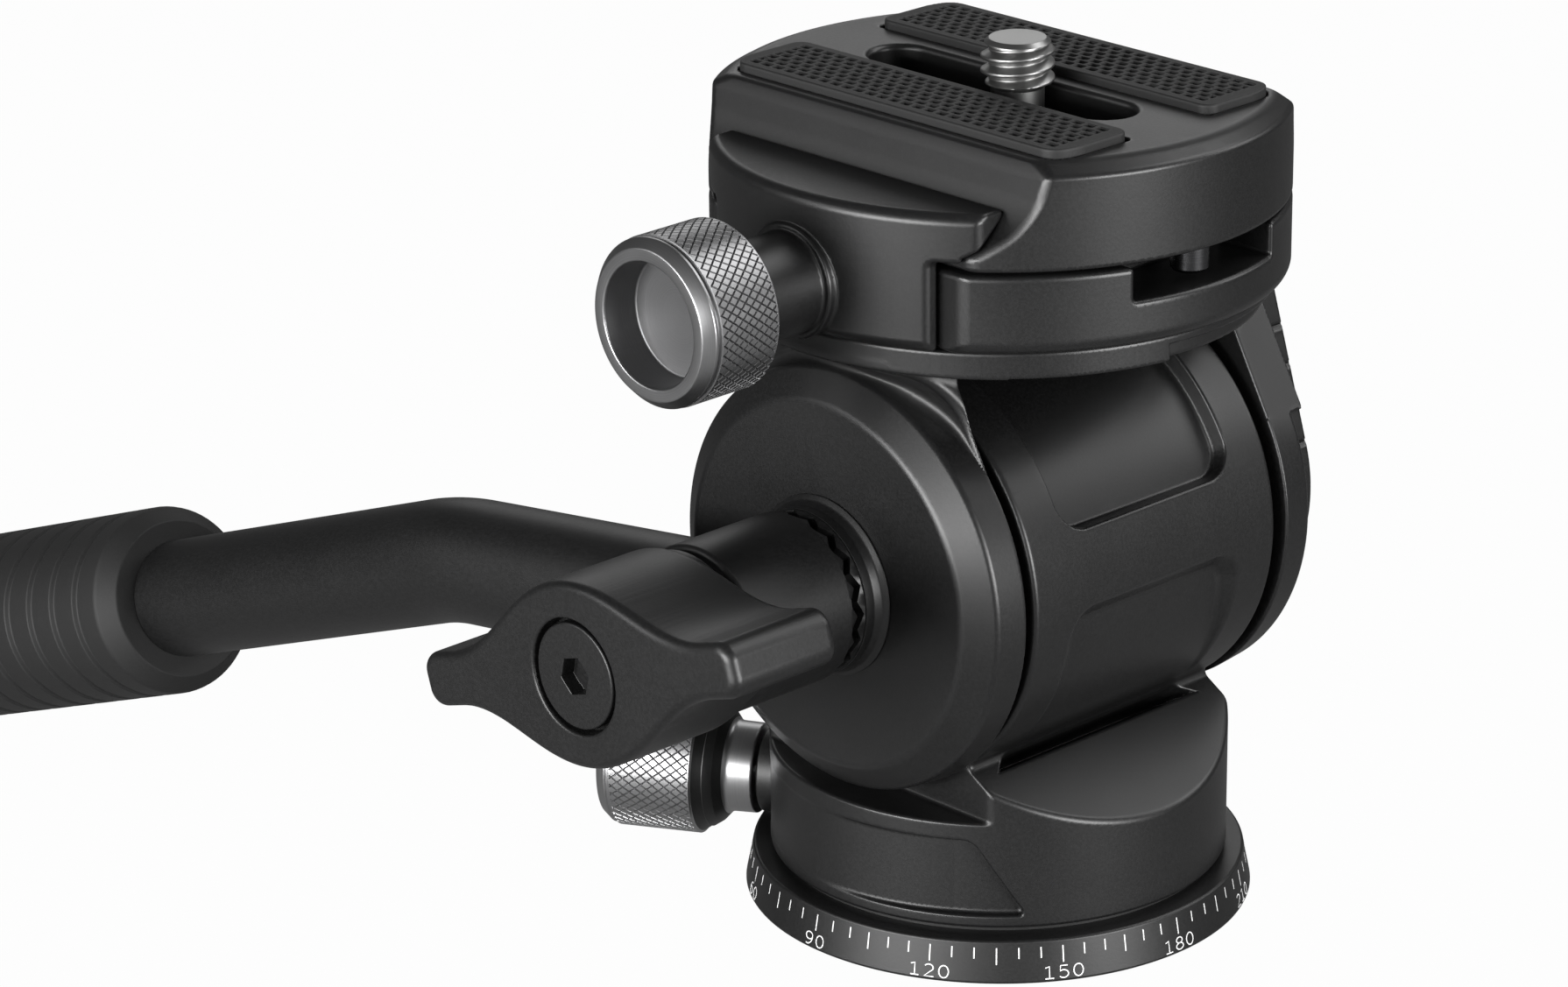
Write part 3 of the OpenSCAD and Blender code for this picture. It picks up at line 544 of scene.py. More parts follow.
def pan_body(x, y, z):
    t = z - TILT_Z
    rho, axis = np.hypot(x, y), np.hypot(x, t)
    side = rho - DRUM_R
    depth, wall = drum_recess(x, y, z)
    side = cut(side, meet(wall, DRUM_R - depth - rho, 0.3), 0.2)
    top = plane(np.abs(x), z, (11.5, 18.2), (0.6, 1))
    seat = join(z - 14.1, np.abs(y) - BARREL_HALF, 0.35)
    drum = meet(meet(meet(side, top, 0.4), seat, 0.3), 4.25 - z, 0.35)
    barrel = meet(axis - BARREL_R, np.abs(y) - BARREL_HALF, 0.5)
    body = join(drum, barrel, 0.9)
    angle = np.degrees(np.arctan2(t, np.abs(x)))
    run = np.radians(angle) * BARREL_R
    bottom = 17.4
    rising = bottom + 1.5 * np.clip((-1 - angle) / 45, 0, 1.6)
    for low, high, lean, floor in ((19.3, 78, 0.2, bottom), (-60, -1, 1.2, rising)):
        mid = math.radians(low + high) / 2 * BARREL_R
        half = math.radians(high - low) / 2 * BARREL_R
        walls = (soft_box(run - mid, y, half, 10.65, 3.0) + lean * (BARREL_R - axis)) / math.hypot(1, lean)
        pocket = meet(walls, floor - axis, 0.25)
        body = cut(body, meet(pocket, axis - 20.5), 0.2)
    hollow = np.minimum(meet(rho - 11.05, z - 10.45), meet(rho - 13.9, band(z, 9.95, 12.45)))
    hollow = np.minimum(hollow, meet(axis - 8, band(y, -17, 10)))
    hollow = np.minimum(hollow, meet(axis - 14, band(y, -9, 10.5)))
    hollow = np.minimum(hollow, meet(axis - 15.4, band(y, 10.5, 17)))
    along = x * LOCK_WAY[0] + y * LOCK_WAY[1]
    off = np.hypot(x * LOCK_WAY[1] - y * LOCK_WAY[0], z - LOCK_Z)
    lock = np.minimum(meet(off - 2.9, band(along, 16.5, 24)), meet(off - 3.85, band(along, 19.9, 24)))
    hollow = np.minimum(hollow, np.minimum(lock, meet(off - 1.75, band(along, 9, 24))))
    return cut(body, hollow, 0.15)


# Yoke

def cover_screw(x, t, az):
    """Distance from the axis of one of the cover's screws."""
    a = math.radians(az)
    return np.hypot(x - COVER_SCREW_R * math.cos(a), t - COVER_SCREW_R * math.sin(a))


def yoke(x, y, z):
    t = z - TILT_Z
    rho, axis, w = np.hypot(x, y), np.hypot(x, t), np.abs(y)
    flat = meet(rho - PLATFORM_R, band(z, PLATFORM_Z, CLAMP_Z), 0.3)
    step = np.maximum(np.maximum(-3.9 - y, -x), z - 57.2)
    flat = cut(flat, meet(step, 22.8 - rho, 0.15), 0.15)
    trim = np.minimum(rho - PLATFORM_R, z - 53.6)
    taper = 0.3 * (w - CHEEK_IN) / 3.3
    rim = axis - 19.15 + taper
    slant = np.maximum(np.abs(x) * 0.875 + t * 0.485 - 19.2 + taper, np.abs(x) * 0.485 - t * 0.875)
    swell = 6.5 - 6.5 * np.hypot((w - PLATFORM_R) / 7.1, (z - 49.5) / 6.1)
    flare = np.where((z > 49.5) & (y < 0), swell, w - 16.7)
    neck = meet(meet(meet(slant, flare, 0.9), z - 57), trim, 0.6)
    bevel = plane(axis, w, (18.85, 19.6), (1.85, 2.6))
    disc = meet(rim, meet(bevel, w - CHEEK_OUT, 0.2), 0.25)
    climb = np.clip((np.degrees(np.arctan2(t, np.abs(x))) - 44) / 24, 0, 1)
    side = meet(join(disc, neck, 0.02 + 1.5 * climb), CHEEK_IN - w, 0.3)
    back = meet(meet(slant, z - 57), band(y, CHEEK_IN, CHEEK_OUT), 0.3)
    body = np.minimum(join(flat, side, 0.05 + 2.8 * np.clip((22.8 - rho) / 3.5, 0, 1)), back)
    body = cut(body, np.maximum(w - CHEEK_IN, z - PLATFORM_Z), 0.35)
    body = cut(body, np.maximum(CHEEK_OUT - y, z - 55.55), 0.2)
    body = meet(body, trim, 0.2)
    hollow = np.minimum(axis - 5.0, meet(axis - 9, 19.05 - y))
    bolt = np.hypot(np.abs(x) - BOLT_X, w - BOLT_Y)
    hollow = np.minimum(hollow, np.minimum(meet(bolt - 1.5, 50 - z), meet(bolt - 2.8, band(z, 50, 57))))
    for az in COVER_SCREWS:
        hollow = np.minimum(hollow, meet(cover_screw(x, t, az) - 1, 18.85 - y))
    return cut(body, hollow, 0.12)


def side_cover(x, y, z):
    t = z - TILT_Z
    lean = math.radians(17)
    foot = (COVER_R * math.cos(lean), COVER_R * math.sin(lean))
    slant = plane(np.abs(x), t, foot, (math.cos(lean), math.sin(lean)))
    shape = np.minimum(np.hypot(x, t) - COVER_R, meet(meet(slant, t - 21.1, 0.5), foot[1] - t))
    body = meet(shape, band(y, 21.47, 24.7), 0.45)
    for i in range(4):
        high = 14.8 - 3.4 * i
        if high > foot[1]:
            side = foot[0] - math.tan(lean) * (high - foot[1])
        else:
            side = math.sqrt(COVER_R ** 2 - high ** 2)
        flank = plane(np.abs(t - high), side - np.abs(x), (0.3, 0), (1, 0.9))
        groove = np.maximum(side - 0.3 - np.abs(x), flank)
        body = cut(body, groove, 0.06)
    for az in COVER_SCREWS:
        screw = cover_screw(x, t, az)
        body = cut(body, np.minimum(screw - 1, meet(screw - 1.95, 23.5 - y)), 0.1)
    return body


# Clamp and plate

def clamp_round(rho, z, top, bevel):
    foot = plane(rho, z, (24.2, CLAMP_Z), (0.75, -0.8))
    crown = plane(rho, z, (CLAMP_R - bevel, top), (1, 1))
    side = meet(meet(rho - CLAMP_R, foot, 0.35), CLAMP_Z - z, 0.35)
    return meet(meet(side, crown, 0.25), z - top, 0.25)


def lip_side(w, z):
    """The inside of a jaw's lip: upright at its foot, sloping over the plate's dovetail, then upright."""
    return meet(16.3 - w, np.minimum(plane(w, z, (19.85, 66.4), (-3.1, -3.55)), 19.85 - w), 0.35)


def clamp_base(x, y, z):
    rho = np.hypot(x, y)
    drum = clamp_round(rho, z, 65.0, 0.2)
    lip = meet(meet(clamp_round(rho, z, JAW_TOP, 0.6), np.abs(x) - JAW_HALF, 0.4), lip_side(y, z), 0.3)
    body = join(drum, meet(lip, 64.3 - z), 0.3)
    body = meet(np.maximum(body, rho - CLAMP_R), -20 - y, 0.45)
    window = meet(meet(np.abs(y) - 8.4, 17.5 - np.abs(x), 0.3), 62.05 - z, 0.3)
    body = cut(body, window, 0.45)
    low = z - SCREW_Z
    hollow = meet(np.hypot(x, low) - 2.05, y + 3)
    hollow = np.minimum(hollow, meet(np.hypot(np.abs(x) - PIN_X, low) - 1.55, y + 8))
    bolt = np.hypot(np.abs(x) - BOLT_X, np.abs(y) - BOLT_Y)
    hollow = np.minimum(hollow, meet(bolt - 1.5, z - 62.4))
    return cut(body, hollow, 0.12)


def clamp_jaw(x, y, z):
    rho, low = np.hypot(x, y), z - SCREW_Z
    upper = meet(meet(np.abs(x) - JAW_HALF, 66 - z, 0.35), lip_side(-y, z), 0.3)
    tongue = meet(meet(np.abs(x) - 12.55, z - 66.4, 0.1), y + 20.3, 0.4)
    jaw = meet(clamp_round(rho, z, JAW_TOP, 0.6), join(upper, tongue, 0.5), 0.4)
    stem = np.hypot(x, low)
    foot = meet(meet(stem - 5.0, -25.4 - y, 0.3), y + 22)
    boss = meet(meet(stem - 4.4, -32.3 - y, 0.4), y + 22)
    jaw = join(join(jaw, foot, 0.2), boss, 0.25)
    hollow = np.minimum(stem - 2.05, meet(np.hypot(np.abs(x) - PIN_X, low) - 1.5, -22.7 - y))
    return cut(jaw, hollow, 0.12)


def grip_strips(x, y, z):
    """The two rubber strips, with rows of small pits in brick order inside a smooth border."""
    across = np.abs(y) - 9.075
    outline = meet(soft_box(x, across, 19.5, 4.325, 1.3), np.hypot(x, y) - 22.8, 0.8)
    body = meet(outline, band(z, 73.85, 75.05), 0.2)
    row = np.clip(np.round(across), -3, 3)
    shift = 0.7 * (row % 2)
    middle = np.clip(1.4 * np.round((x - shift) / 1.4) + shift, -17.5, 17.5)
    pit = soft_box(x - middle, across - row, 0.5, 0.33, 0.12)
    return cut(body, meet(pit, 74.78 - z, 0.05), 0.05)


def plate(x, y, z):
    rho, w = np.hypot(x, y), np.abs(y)
    side = meet(rho - CLAMP_R, plane(rho, z, (CLAMP_R, 73.35), (0.95, 1.65)), 0.3)
    upper = meet(plane(w, z, (16, 69.5), (4.1, 0.95)), plane(w, z, (15.05, 73.6), (0.7, 0.55)), 0.35)
    flank = meet(join(plane(w, z, (19.55, 66.4), (3.1, 3.55)), upper, 1.2), w - 19.55, 0.3)
    body = meet(meet(meet(side, flank, 0.5), z - 74.3, 0.3), 65.3 - z, 0.3)
    body = cut(body, slot_line(x, y, 12, 2.8), 0.5)
    body = cut(body, meet(slot_line(x, y, 12, 5.75), z - 69.8, 0.2), 0.2)
    bed = meet(meet(np.abs(x) - 19.55, band(w, 4.7, 13.45), 0.6), rho - 22.85, 0.6)
    body = cut(body, meet(bed, 73.8 - z, 0.1), 0.15)
    return cut(body, meet(np.hypot(np.abs(x) - STOP_X, y) - 1.68, z - 69.3), 0.1)


# Wing knob

def wing_lines(x, t):
    """Distances along the wing's lobes and across them."""
    c, s = math.cos(WING_TURN), math.sin(WING_TURN)
    return x * c + t * s, t * c - x * s


def wing_knob(x, y, z):
    t = z - TILT_Z
    u, v = wing_lines(x, t)
    w, axis = -y, np.hypot(x, t)
    outline = join(axis - 7.4, soft_box(u, v, 20, 2.4, 1.7), 9)
    wings = meet(outline, band(w, 38.55, 50.1), 0.95)
    body = join(wings, meet(axis - 7.4, band(w, 36.95, 45), 0.5), 0.3)
    body = cut(body, meet(axis - 5.0, 48.5 - w), 0.25)
    return cut(body, axis - 3.0, 0.1)


def wing_cap(x, y, z):
    t = z - TILT_Z
    u, v = wing_lines(x, t)
    body = meet(np.hypot(x, t) - 4.6, band(-y, 48.5, 49.95), 0.2)
    return cut(body, meet(hexagon(v, u, 3.0), y + 48.62), 0.08)


def socket_screw(x, y, z):
    """A small screw with its head up and a hex socket, from the top of its head at the origin."""
    rho = np.hypot(x, y)
    head = meet(rho - 1.85, band(z, -1.2, 0), 0.15)
    body = join(head, meet(rho - 0.98, band(z, -5, -1)))
    return cut(body, meet(hexagon(x, y, 1.8), -0.8 - z), 0.1)


def clamp_bolt(x, y, z):
    """A bolt with its head down and a hex socket, from the underside of its head at the origin."""
    rho = np.hypot(x, y)
    head = meet(rho - 2.75, band(z, 0.03, 1.4), 0.2)
    body = join(head, meet(rho - 1.48, band(z, 1, 6.7)))
    return cut(body, meet(hexagon(x, y, 2.5), z - 0.95), 0.1)


# Knurls, threads and teeth

def knurl(r, low, high, starts):
    """Rings of a knurl: flat diamonds between two sets of narrow crossing grooves, eight points to a groove's
    pitch, with the rows in step so that the grooves run from point to point."""
    turns = 8 * starts
    rows = round((high - low) * turns * 0.76 / (2 * math.pi * r))
    rings = []
    for j in range(rows + 1):
        def ring(a, j=j):
            left, right = [np.abs((a * turns / (2 * np.pi) + s * j) / 8 % 1 - 0.5) * 2 for s in (-1, 1)]
            groove = np.clip(np.maximum(left, right) * 4 - 3, 0, 1)
            return (-0.2 * groove if 0 < j < rows else 0 * a), 0
        rings.append((r, low + (high - low) * j / rows, ring))
    return rings


def thread(minor, major, low, high, pitch, step, inward=False):
    """Rings of a single-start screw thread that runs out at both ends."""
    rings = []
    for h in np.arange(low, high + step / 2, step):
        def ring(a, h=h):
            wave = np.abs(((h / pitch - a / (2 * np.pi)) % 1) * 2 - 1)
            crest = np.clip(wave * 1.35 - 0.12, 0, 1)
            fade = np.clip(min(h - low, high - h) / (0.35 * pitch), 0, 1)
            return (crest * fade if not inward else crest) * (major - minor), 0
        rings.append((minor, h, ring))
    return rings


def toothed(r, h, high, crest):
    """A ring of radial teeth, with the angle of one crest. Their height grows with the radius, so that
    two such rings close on one another."""
    def ring(a):
        wave = np.abs((np.degrees(a) - crest) / (360 / TEETH) % 1 * 2 - 1)
        return 0, high * r / 7.2 * wave
    return (r, h, ring)


def make_base():
    ring = softened([(7, 0, 0.2), (DIAL_R, 0, 0.25), (DIAL_R - DIAL_TAPER, DIAL_H, 0.3), (11, DIAL_H, 0.2),
                     (11, 10.35, 0.2), (7.02, 10.35, 0.1)])
    piece(hard_mesh("scale_ring", turned(ring, 180)), "base", "black_metal", DIAL_BLACK, "scale_ring")
    bore = thread(3.97, 4.76, 0.6, 8.6, 1.5875, 0.1, inward=True)
    insert = [(6.98, 0.02), (4.9, 0.02), *bore, (4.0, 8.98), (6.98, 8.98)]
    piece(hard_mesh("tripod_insert", turned(insert, 72), 50), "base", "steel", BASE_STEEL, "tripod_insert")
    piece(hard_mesh("dial_marks", dial_marks()), "base", "black_metal", PRINT)


MARK_Z = 2.01
MARK_R = 22.3
FIRST_MARK = -61.3
UNDER, OVER = -0.02, 0.012
BOX_FACES = [[0, 1, 2, 3], [4, 5, 6, 7], [0, 1, 5, 4], [1, 2, 6, 5], [2, 3, 7, 6], [3, 0, 4, 7]]


def on_cone(u, v, az, lift):
    """A point of the dial's cone, u round it and v up it from a mark's foot."""
    z = MARK_Z + v
    r = DIAL_R - DIAL_TAPER * z / DIAL_H + lift
    a = math.radians(az) + u / MARK_R
    return (r * math.cos(a), r * math.sin(a), z + lift * 0.2)


def dial_marks():
    """Scale lines every 5 degrees, longer ones every 15, and numbers every 30, printed on the dial's cone."""
    shapes = []
    for k in range(72):
        az = FIRST_MARK + 5 * k
        foot, tall, half = (-0.25 if k % 3 == 0 else 0.25), 1.2, 0.055
        box = [on_cone(s * half, v, az, d) for d in (UNDER, OVER) for s, v in
               ((-1, foot), (1, foot), (1, tall), (-1, tall))]
        shapes.append((box, BOX_FACES))
    for k in range(12):
        shapes.append(number(str((120 + 30 * k) % 360), FIRST_MARK + 30 * k))
    return several(*shapes)


def arc(x, y, rx, ry, start, end):
    """Points of part of an oval, between two angles in degrees."""
    turn = np.radians(np.linspace(start, end, 1 + round(abs(end - start) / 15)))
    return list(zip(x + rx * np.cos(turn), y + ry * np.sin(turn)))


FIGURES = {
    "0": [arc(0.36, 0.5, 0.29, 0.46, 90, 450)],
    "1": [[(0.14, 0.84), (0.38, 0.95), (0.38, 0.04)], [(0.12, 0.04), (0.64, 0.04)]],
    "2": [arc(0.35, 0.68, 0.27, 0.27, 150, -25) + [(0.08, 0.04), (0.66, 0.04)]],
    "3": [arc(0.33, 0.73, 0.25, 0.23, 145, -90) + arc(0.33, 0.27, 0.29, 0.23, 90, -145)],
    "4": [[(0.5, 0.04), (0.5, 0.94), (0.06, 0.3), (0.7, 0.3)]],
    "5": [[(0.6, 0.95), (0.16, 0.95), (0.13, 0.54)] + arc(0.33, 0.33, 0.3, 0.29, 125, -140)],
    "6": [arc(0.37, 0.32, 0.28, 0.28, 450, 90), arc(0.5, 0.36, 0.41, 0.6, 75, 180)],
    "7": [[(0.08, 0.95), (0.64, 0.95), (0.28, 0.04)]],
    "8": [arc(0.36, 0.73, 0.24, 0.22, 90, 450), arc(0.36, 0.27, 0.29, 0.24, 90, 450)],
    "9": [arc(0.35, 0.68, 0.28, 0.28, 90, 450), arc(0.22, 0.64, 0.41, 0.6, -105, 0)],
}


def number(text, az):
    """A dial number drawn with strokes of one width, under the long mark at that angle."""
    shapes = []
    high, wide, pitch, foot, half = 1.16, 1.45, 1.3, 1.66, 0.05
    edges = ((-1, OVER), (1, OVER), (1, UNDER), (-1, UNDER))
    for place, figure in enumerate(text):
        shift = (place - (len(text) - 1) / 2) * pitch - 0.36 * wide
        for line in FIGURES[figure]:
            line = [Vector((shift + x * wide, y * high - foot)) for x, y in line]
            side = []
            for i, here in enumerate(line):
                pairs = zip(line[max(0, i - 1):i + 1], line[i:i + 2])
                ways = [(b - a).normalized() for a, b in pairs if a != b]
                ways += [(line[i + 1] - here).normalized()] if i == 0 else []
                along = sum(ways, Vector((0, 0))).normalized()
                side.append(Vector((-along.y, along.x)) * half)
            ends = [[on_cone(*(p + s * q), az, d) for s, d in edges] for p, q in zip(line, side)]
            faces = [[4 * i + k, 4 * i + (k + 1) % 4, 4 * i + 4 + (k + 1) % 4, 4 * i + 4 + k]
                     for i in range(len(line) - 1) for k in range(4)]
            last = 4 * len(line) - 4
            faces += [[0, 1, 2, 3], [last, last + 1, last + 2, last + 3]]
            shapes.append((sum(ends, []), faces))
    return several(*shapes)


def make_pan():
    piece(skin("pan_body", pan_body, (-20.5, -20.5, 4), (20.5, 20.5, 53.4), 0.2, 0.2),
          "pan", "black_metal", BLACK, "pan_body")
    collar = softened([(1.75, 16.5), (2.9, 16.5), (2.9, 19.9), (3.85, 19.9, 0.1), (3.85, 21.6, 0.3),
                       (1.75, 21.6)])
    piece(hard_mesh("pan_lock_collar", placed(turned(collar, 64), PAN_LOCK)),
          "pan", "black_plastic", TRIM_BLACK, "pan_lock_collar")
    knob = softened([(1.7, 21.9), (4.1, 21.9, 0.2), (4.15, 24.4, 0.8), (5.2, 25.3, 0.3), (6.2, 26.75, 0.2)])
    knob += [(6.2, 26.95)] + knurl(6.45, 27.1, 34.6, 48)
    knob += softened([(6.15, 34.75), (6.15, 34.95, 0.05), (6.3, 35.1, 0.15), (5.5, 36.1, 0.35),
                      (4.6, 36.1, 0.2), (4.5, 33.5, 0.3), (0.0, 33.5)])
    knob += [(0.0, 30.25), (1.7, 30.25)]
    shape = placed(turned_solid(knob, 384), PAN_LOCK)
    knob = piece(hard_mesh("pan_lock_knob", shape, 28), "lock_knob", "silver_metal", LOCK_KNOB, "pan_lock_knob")
    # Painted shade: the cone behind the knurl gets the black trim finish in place of its dark reflection.
    two_tone(knob, TRIM_BLACK, on_lock_cone)


def on_lock_cone(c):
    """Whether a point is on the cone behind the lock knob's knurl, which is of the knob's own metal and takes
    the black trim finish as painted shade.
    """
    way = Vector(LOCK_WAY)
    along = c.dot(way)
    return 24.7 < along < 27.0 and (c - along * way - Vector((0, 0, LOCK_Z))).length > 4


def in_knob_cup(c):
    """Whether a point is inside the clamp knob's cup, whose faces take the painted shade."""
    return -40.8 < c.y < -37 and math.hypot(c.x, c.z - SCREW_Z) < 5.4


def two_tone(obj, finish, chosen):
    """Gives a piece a second finish, on the faces whose middles are chosen."""
    obj.data.materials.append(finish)
    for face in obj.data.polygons:
        if chosen(face.center / MM):
            face.material_index = 1


def turned_solid(rings, turns):
    """A turned shape whose profile touches the axis in the middle of its run."""
    middle = 1 + next(i for i, ring in enumerate(rings) if ring[0] < 1e-6)
    return turned(rings[middle:] + rings[:middle], turns)


def make_yoke_and_clamp():
    piece(skin("yoke", yoke, (-23.9, -23.9, 14.9), (23.9, 23.9, 58.1), 0.22, 0.2),
          "tilt", "black_metal", BLACK, "yoke")
    piece(skin("clamp_base", clamp_base, (-25.1, -20.2, 57.9), (25.1, 25.1, 70.3), 0.25, 0.16),
          "tilt", "black_metal", BLACK, "clamp_base")
    piece(skin("side_cover", side_cover, (-15, 21.3, 19), (15, 24.8, 55.5), 0.18, 0.16),
          "tilt", "black_plastic", TRIM_BLACK, "side_cover")
    piece(skin("clamp_jaw", clamp_jaw, (-16.2, -32.4, 57.9), (16.2, -16, 70.3), 0.22, 0.2),
          "jaw", "black_metal", BLACK, "clamp_jaw")
    screw = surface(socket_screw, (-2, -2, -5.1), (2, 2, 0.1), 0.12)
    screws = []
    for a in np.radians(COVER_SCREWS):
        seat = (COVER_SCREW_R * math.cos(a), 24.68, TILT_Z + COVER_SCREW_R * math.sin(a))
        place = Matrix.Translation(seat) @ Matrix.Rotation(-math.pi / 2, 4, "X")
        screws.append(placed((screw[0], screw[1].tolist()), place))
    piece(hard_mesh("cover_screws", several(*screws), 50), "tilt", "black_steel", BOLT_BLACK, "cover_screws")
    bolt = surface(clamp_bolt, (-3, -3, 0), (3, 3, 6.8), 0.16)
    bolts = [placed((bolt[0], bolt[1].tolist()), Matrix.Translation((x, y, PLATFORM_Z)))
             for x in (-BOLT_X, BOLT_X) for y in (-BOLT_Y, BOLT_Y)]
    piece(hard_mesh("clamp_bolts", several(*bolts), 50), "tilt", "black_steel", BOLT_BLACK, "clamp_bolts")
    knob = softened([(2.0, 32.6), (6.6, 32.6, 0.2), (6.95, 32.95, 0.15), (6.95, 33.1)])
    knob += knurl(7.28, 33.3, 39.5, 54)
    knob += softened([(6.95, 39.6), (6.95, 39.75, 0.05), (7.2, 39.9, 0.12), (7.2, 40.2, 0.2),
                      (6.43, 41.05, 0.25), (5.35, 41.05, 0.18), (5.27, 37.6, 0.2), (0.0, 37.6)])
    knob += [(0.0, 35.65), (2.0, 35.65)]
    shape = placed(turned_solid(knob, 432), towards_handle(SCREW_Z))
    knob = piece(hard_mesh("clamp_knob", shape, 28), "jaw_knob", "silver_metal", KNOB, "clamp_knob")
    # The cup's faces get the darker finish as painted shade.
    two_tone(knob, KNOB_CUP_SHADE, in_knob_cup)


def make_plate():
    piece(skin("plate", plate, (-25.1, -19.7, 65.2), (25.1, 19.7, 74.4), 0.25, 0.16),
          "plate", "black_metal", PLATE_BLACK, "plate")
    piece(skin("grip_strips", grip_strips, (-19.6, -13.5, 73.8), (19.6, 13.5, 75.1), 0.12, 0.4),
          "plate", "rubber", RUBBER, "grip_strips")
    pin = softened([(0.0, 62.55), (1.4, 62.55, 0.1), (1.66, 62.85, 0.1), (1.66, 69.25), (0.0, 69.25)])
    pins = [placed(turned(pin, 48), upright(s * STOP_X)) for s in (-1, 1)]
    piece(hard_mesh("stop_pins", several(*pins)), "plate", "black_steel", PIN_STEEL, "stop_pins")
    screw = softened([(0.0, 66.4), (5, 66.4, 0.3), (5, 68.8, 0.2), (2.3, 68.8, 0.1), (2.3, 74.0)])
    screw += [(2.3, 74.3)] + thread(2.42, 3.17, 74.4, 78.05, 1.27, 0.06)
    screw += softened([(2.55, 78.1), (2.9, 78.2, 0.05), (2.45, 78.6, 0.1), (0.0, 78.6)])
    piece(hard_mesh("camera_screw", placed(turned(screw, 72), upright(CAMERA_X)), 40),
          "screw", "steel", SCREW_STEEL, "camera_screw")


def make_handle():
    rosette = softened([(5.02, 21.47), (8.25, 21.47, 0.1), (7.6, 21.95, 0.5), (7.3, 22.6, 0.4),
                        (7.3, 23.6, 0.06)])
    rosette += [(7.28, 23.7), toothed(7.2, 23.75, TOOTH_H, 10), toothed(6.1, 23.75, TOOTH_H, 10)]
    rosette += softened([(6.0, 23.72), (6.0, 25.75, 0.15), (5.02, 25.75)])
    piece(hard_mesh("rosette", placed(turned(rosette, 144), towards_handle(TILT_Z)), 30),
          "tilt", "black_metal", BLACK, "rosette")
    eye = [toothed(6.1, 25.25, -TOOTH_H, 0), toothed(7.2, 25.25, -TOOTH_H, 0), (7.42, 25.3)]
    eye += softened([(EYE_R, 25.4, 0.05), (EYE_R, 36.35, 0.5), (3.3, 36.35, 0.2), (3.3, 26.75), (6.05, 26.75)])
    eye += [(6.05, 25.3)]
    piece(hard_mesh("handle_eye", placed(turned(eye, 144), towards_handle(TILT_Z)), 30),
          "handle", "black_metal", BAR_BLACK, "handle_eye")
    piece(hard_mesh("handle_bar", bar_tube(), 40), "handle", "black_metal", BAR_BLACK, "handle_bar")
    end = bar_frame(BAR_BENT)
    grip = [(4.62, 41.0), (7.5, 41.0, 0.3), (9, 42.6, 0.8)]
    for k in range(15):
        h = 45.5 + 4.0 * k
        grip += [(9, h, 0.2), (8.55, h + 0.25, 0.2), (8.55, h + 0.75, 0.2), (9, h + 1.0, 0.2)]
    grip += [(9, 106.97, 0.2), (4.62, 106.97)]
    piece(hard_mesh("handle_grip", placed(turned(softened(grip, 2), 72), end)),
          "handle", "rubber", RUBBER, "handle_grip")
    cap = softened([(0.0, 108.02), (4.6, 108), (4.62, 107.02), (9, 107.02, 0.2), (9, 110, 0.6),
                    (7.6, 111.4, 0.8), (5.0, 111.4, 0.3), (4.6, 111.0, 0.3), (0.0, 111.0)])
    piece(hard_mesh("end_cap", placed(turned(cap, 72), end)),
          "handle", "black_plastic", TRIM_BLACK, "end_cap")
    piece(skin("wing_knob", wing_knob, (-20.1, -50.2, 20), (20.1, -36.8, 48), 0.24, 0.22),
          "wing", "black_plastic", WING_BLACK, "wing_knob")
    piece(skin("wing_cap", wing_cap, (-4.7, -50, 29.4), (4.7, -48.4, 39), 0.12, 0.25),
          "wing", "black_plastic", WING_BLACK, "wing_cap")


def bar_frame(s):
    """A matrix on the bar's line, at a distance s along it from the tilt axis."""
    way = BAR_FIRST + np.clip((s - BAR_LEAD) / BAR_BEND, 0, BAR_TURN)
    x = -min(s, BAR_LEAD) * math.cos(BAR_FIRST)
    z = -min(s, BAR_LEAD) * math.sin(BAR_FIRST)
    if s > BAR_LEAD:
        x -= BAR_BEND * (math.sin(way) - math.sin(BAR_FIRST))
        z -= BAR_BEND * (math.cos(BAR_FIRST) - math.cos(way))
        rest = max(0.0, s - BAR_BENT)
        x -= rest * math.cos(way)
        z -= rest * math.sin(way)
    along = Vector((-math.cos(way), 0, -math.sin(way)))
    side = Vector((0, 1, 0))
    up = along.cross(side)
    return Matrix.Translation((x, BAR_Y, TILT_Z + z)) @ Matrix((side, up, along)).transposed().to_4x4()


def bar_tube():
    """The bent bar, from its saddle on the eye to the stub inside the grip."""
    turns, saddle, stub_r = 72, 8, 4.6
    stations = [(saddle, BAR_R)] + [(12 + 2.0 * k, BAR_R) for k in range(11)]
    stations += [(BAR_LEAD + BAR_BEND * BAR_TURN * k / 16, BAR_R) for k in range(17)]
    stations += [(BAR_BENT + 20, BAR_R), (BAR_BENT + 40.8, BAR_R), (BAR_BENT + 40.98, 5.45)]
    stations += [(BAR_BENT + 40.98, stub_r), (BAR_BENT + 107.98, stub_r)]
    points = []
    for k, (s, r) in enumerate(stations):
        place = bar_frame(s)
        for a in np.arange(turns) * 2 * np.pi / turns:
            y, q = r * math.cos(a), r * math.sin(a)
            sag = math.sqrt(EYE_R ** 2 - q * q) - saddle if k == 0 else 0
            points.append(tuple(place @ Vector((y, q, sag))))
    faces = []
    last = (len(stations) - 1) * turns
    for start in range(0, last, turns):
        for i in range(turns):
            n = (i + 1) % turns
            faces.append([start + i, start + n, start + turns + n, start + turns + i])
    faces.append(list(range(turns - 1, -1, -1)))
    faces.append(list(range(last, last + turns)))
    return points, faces


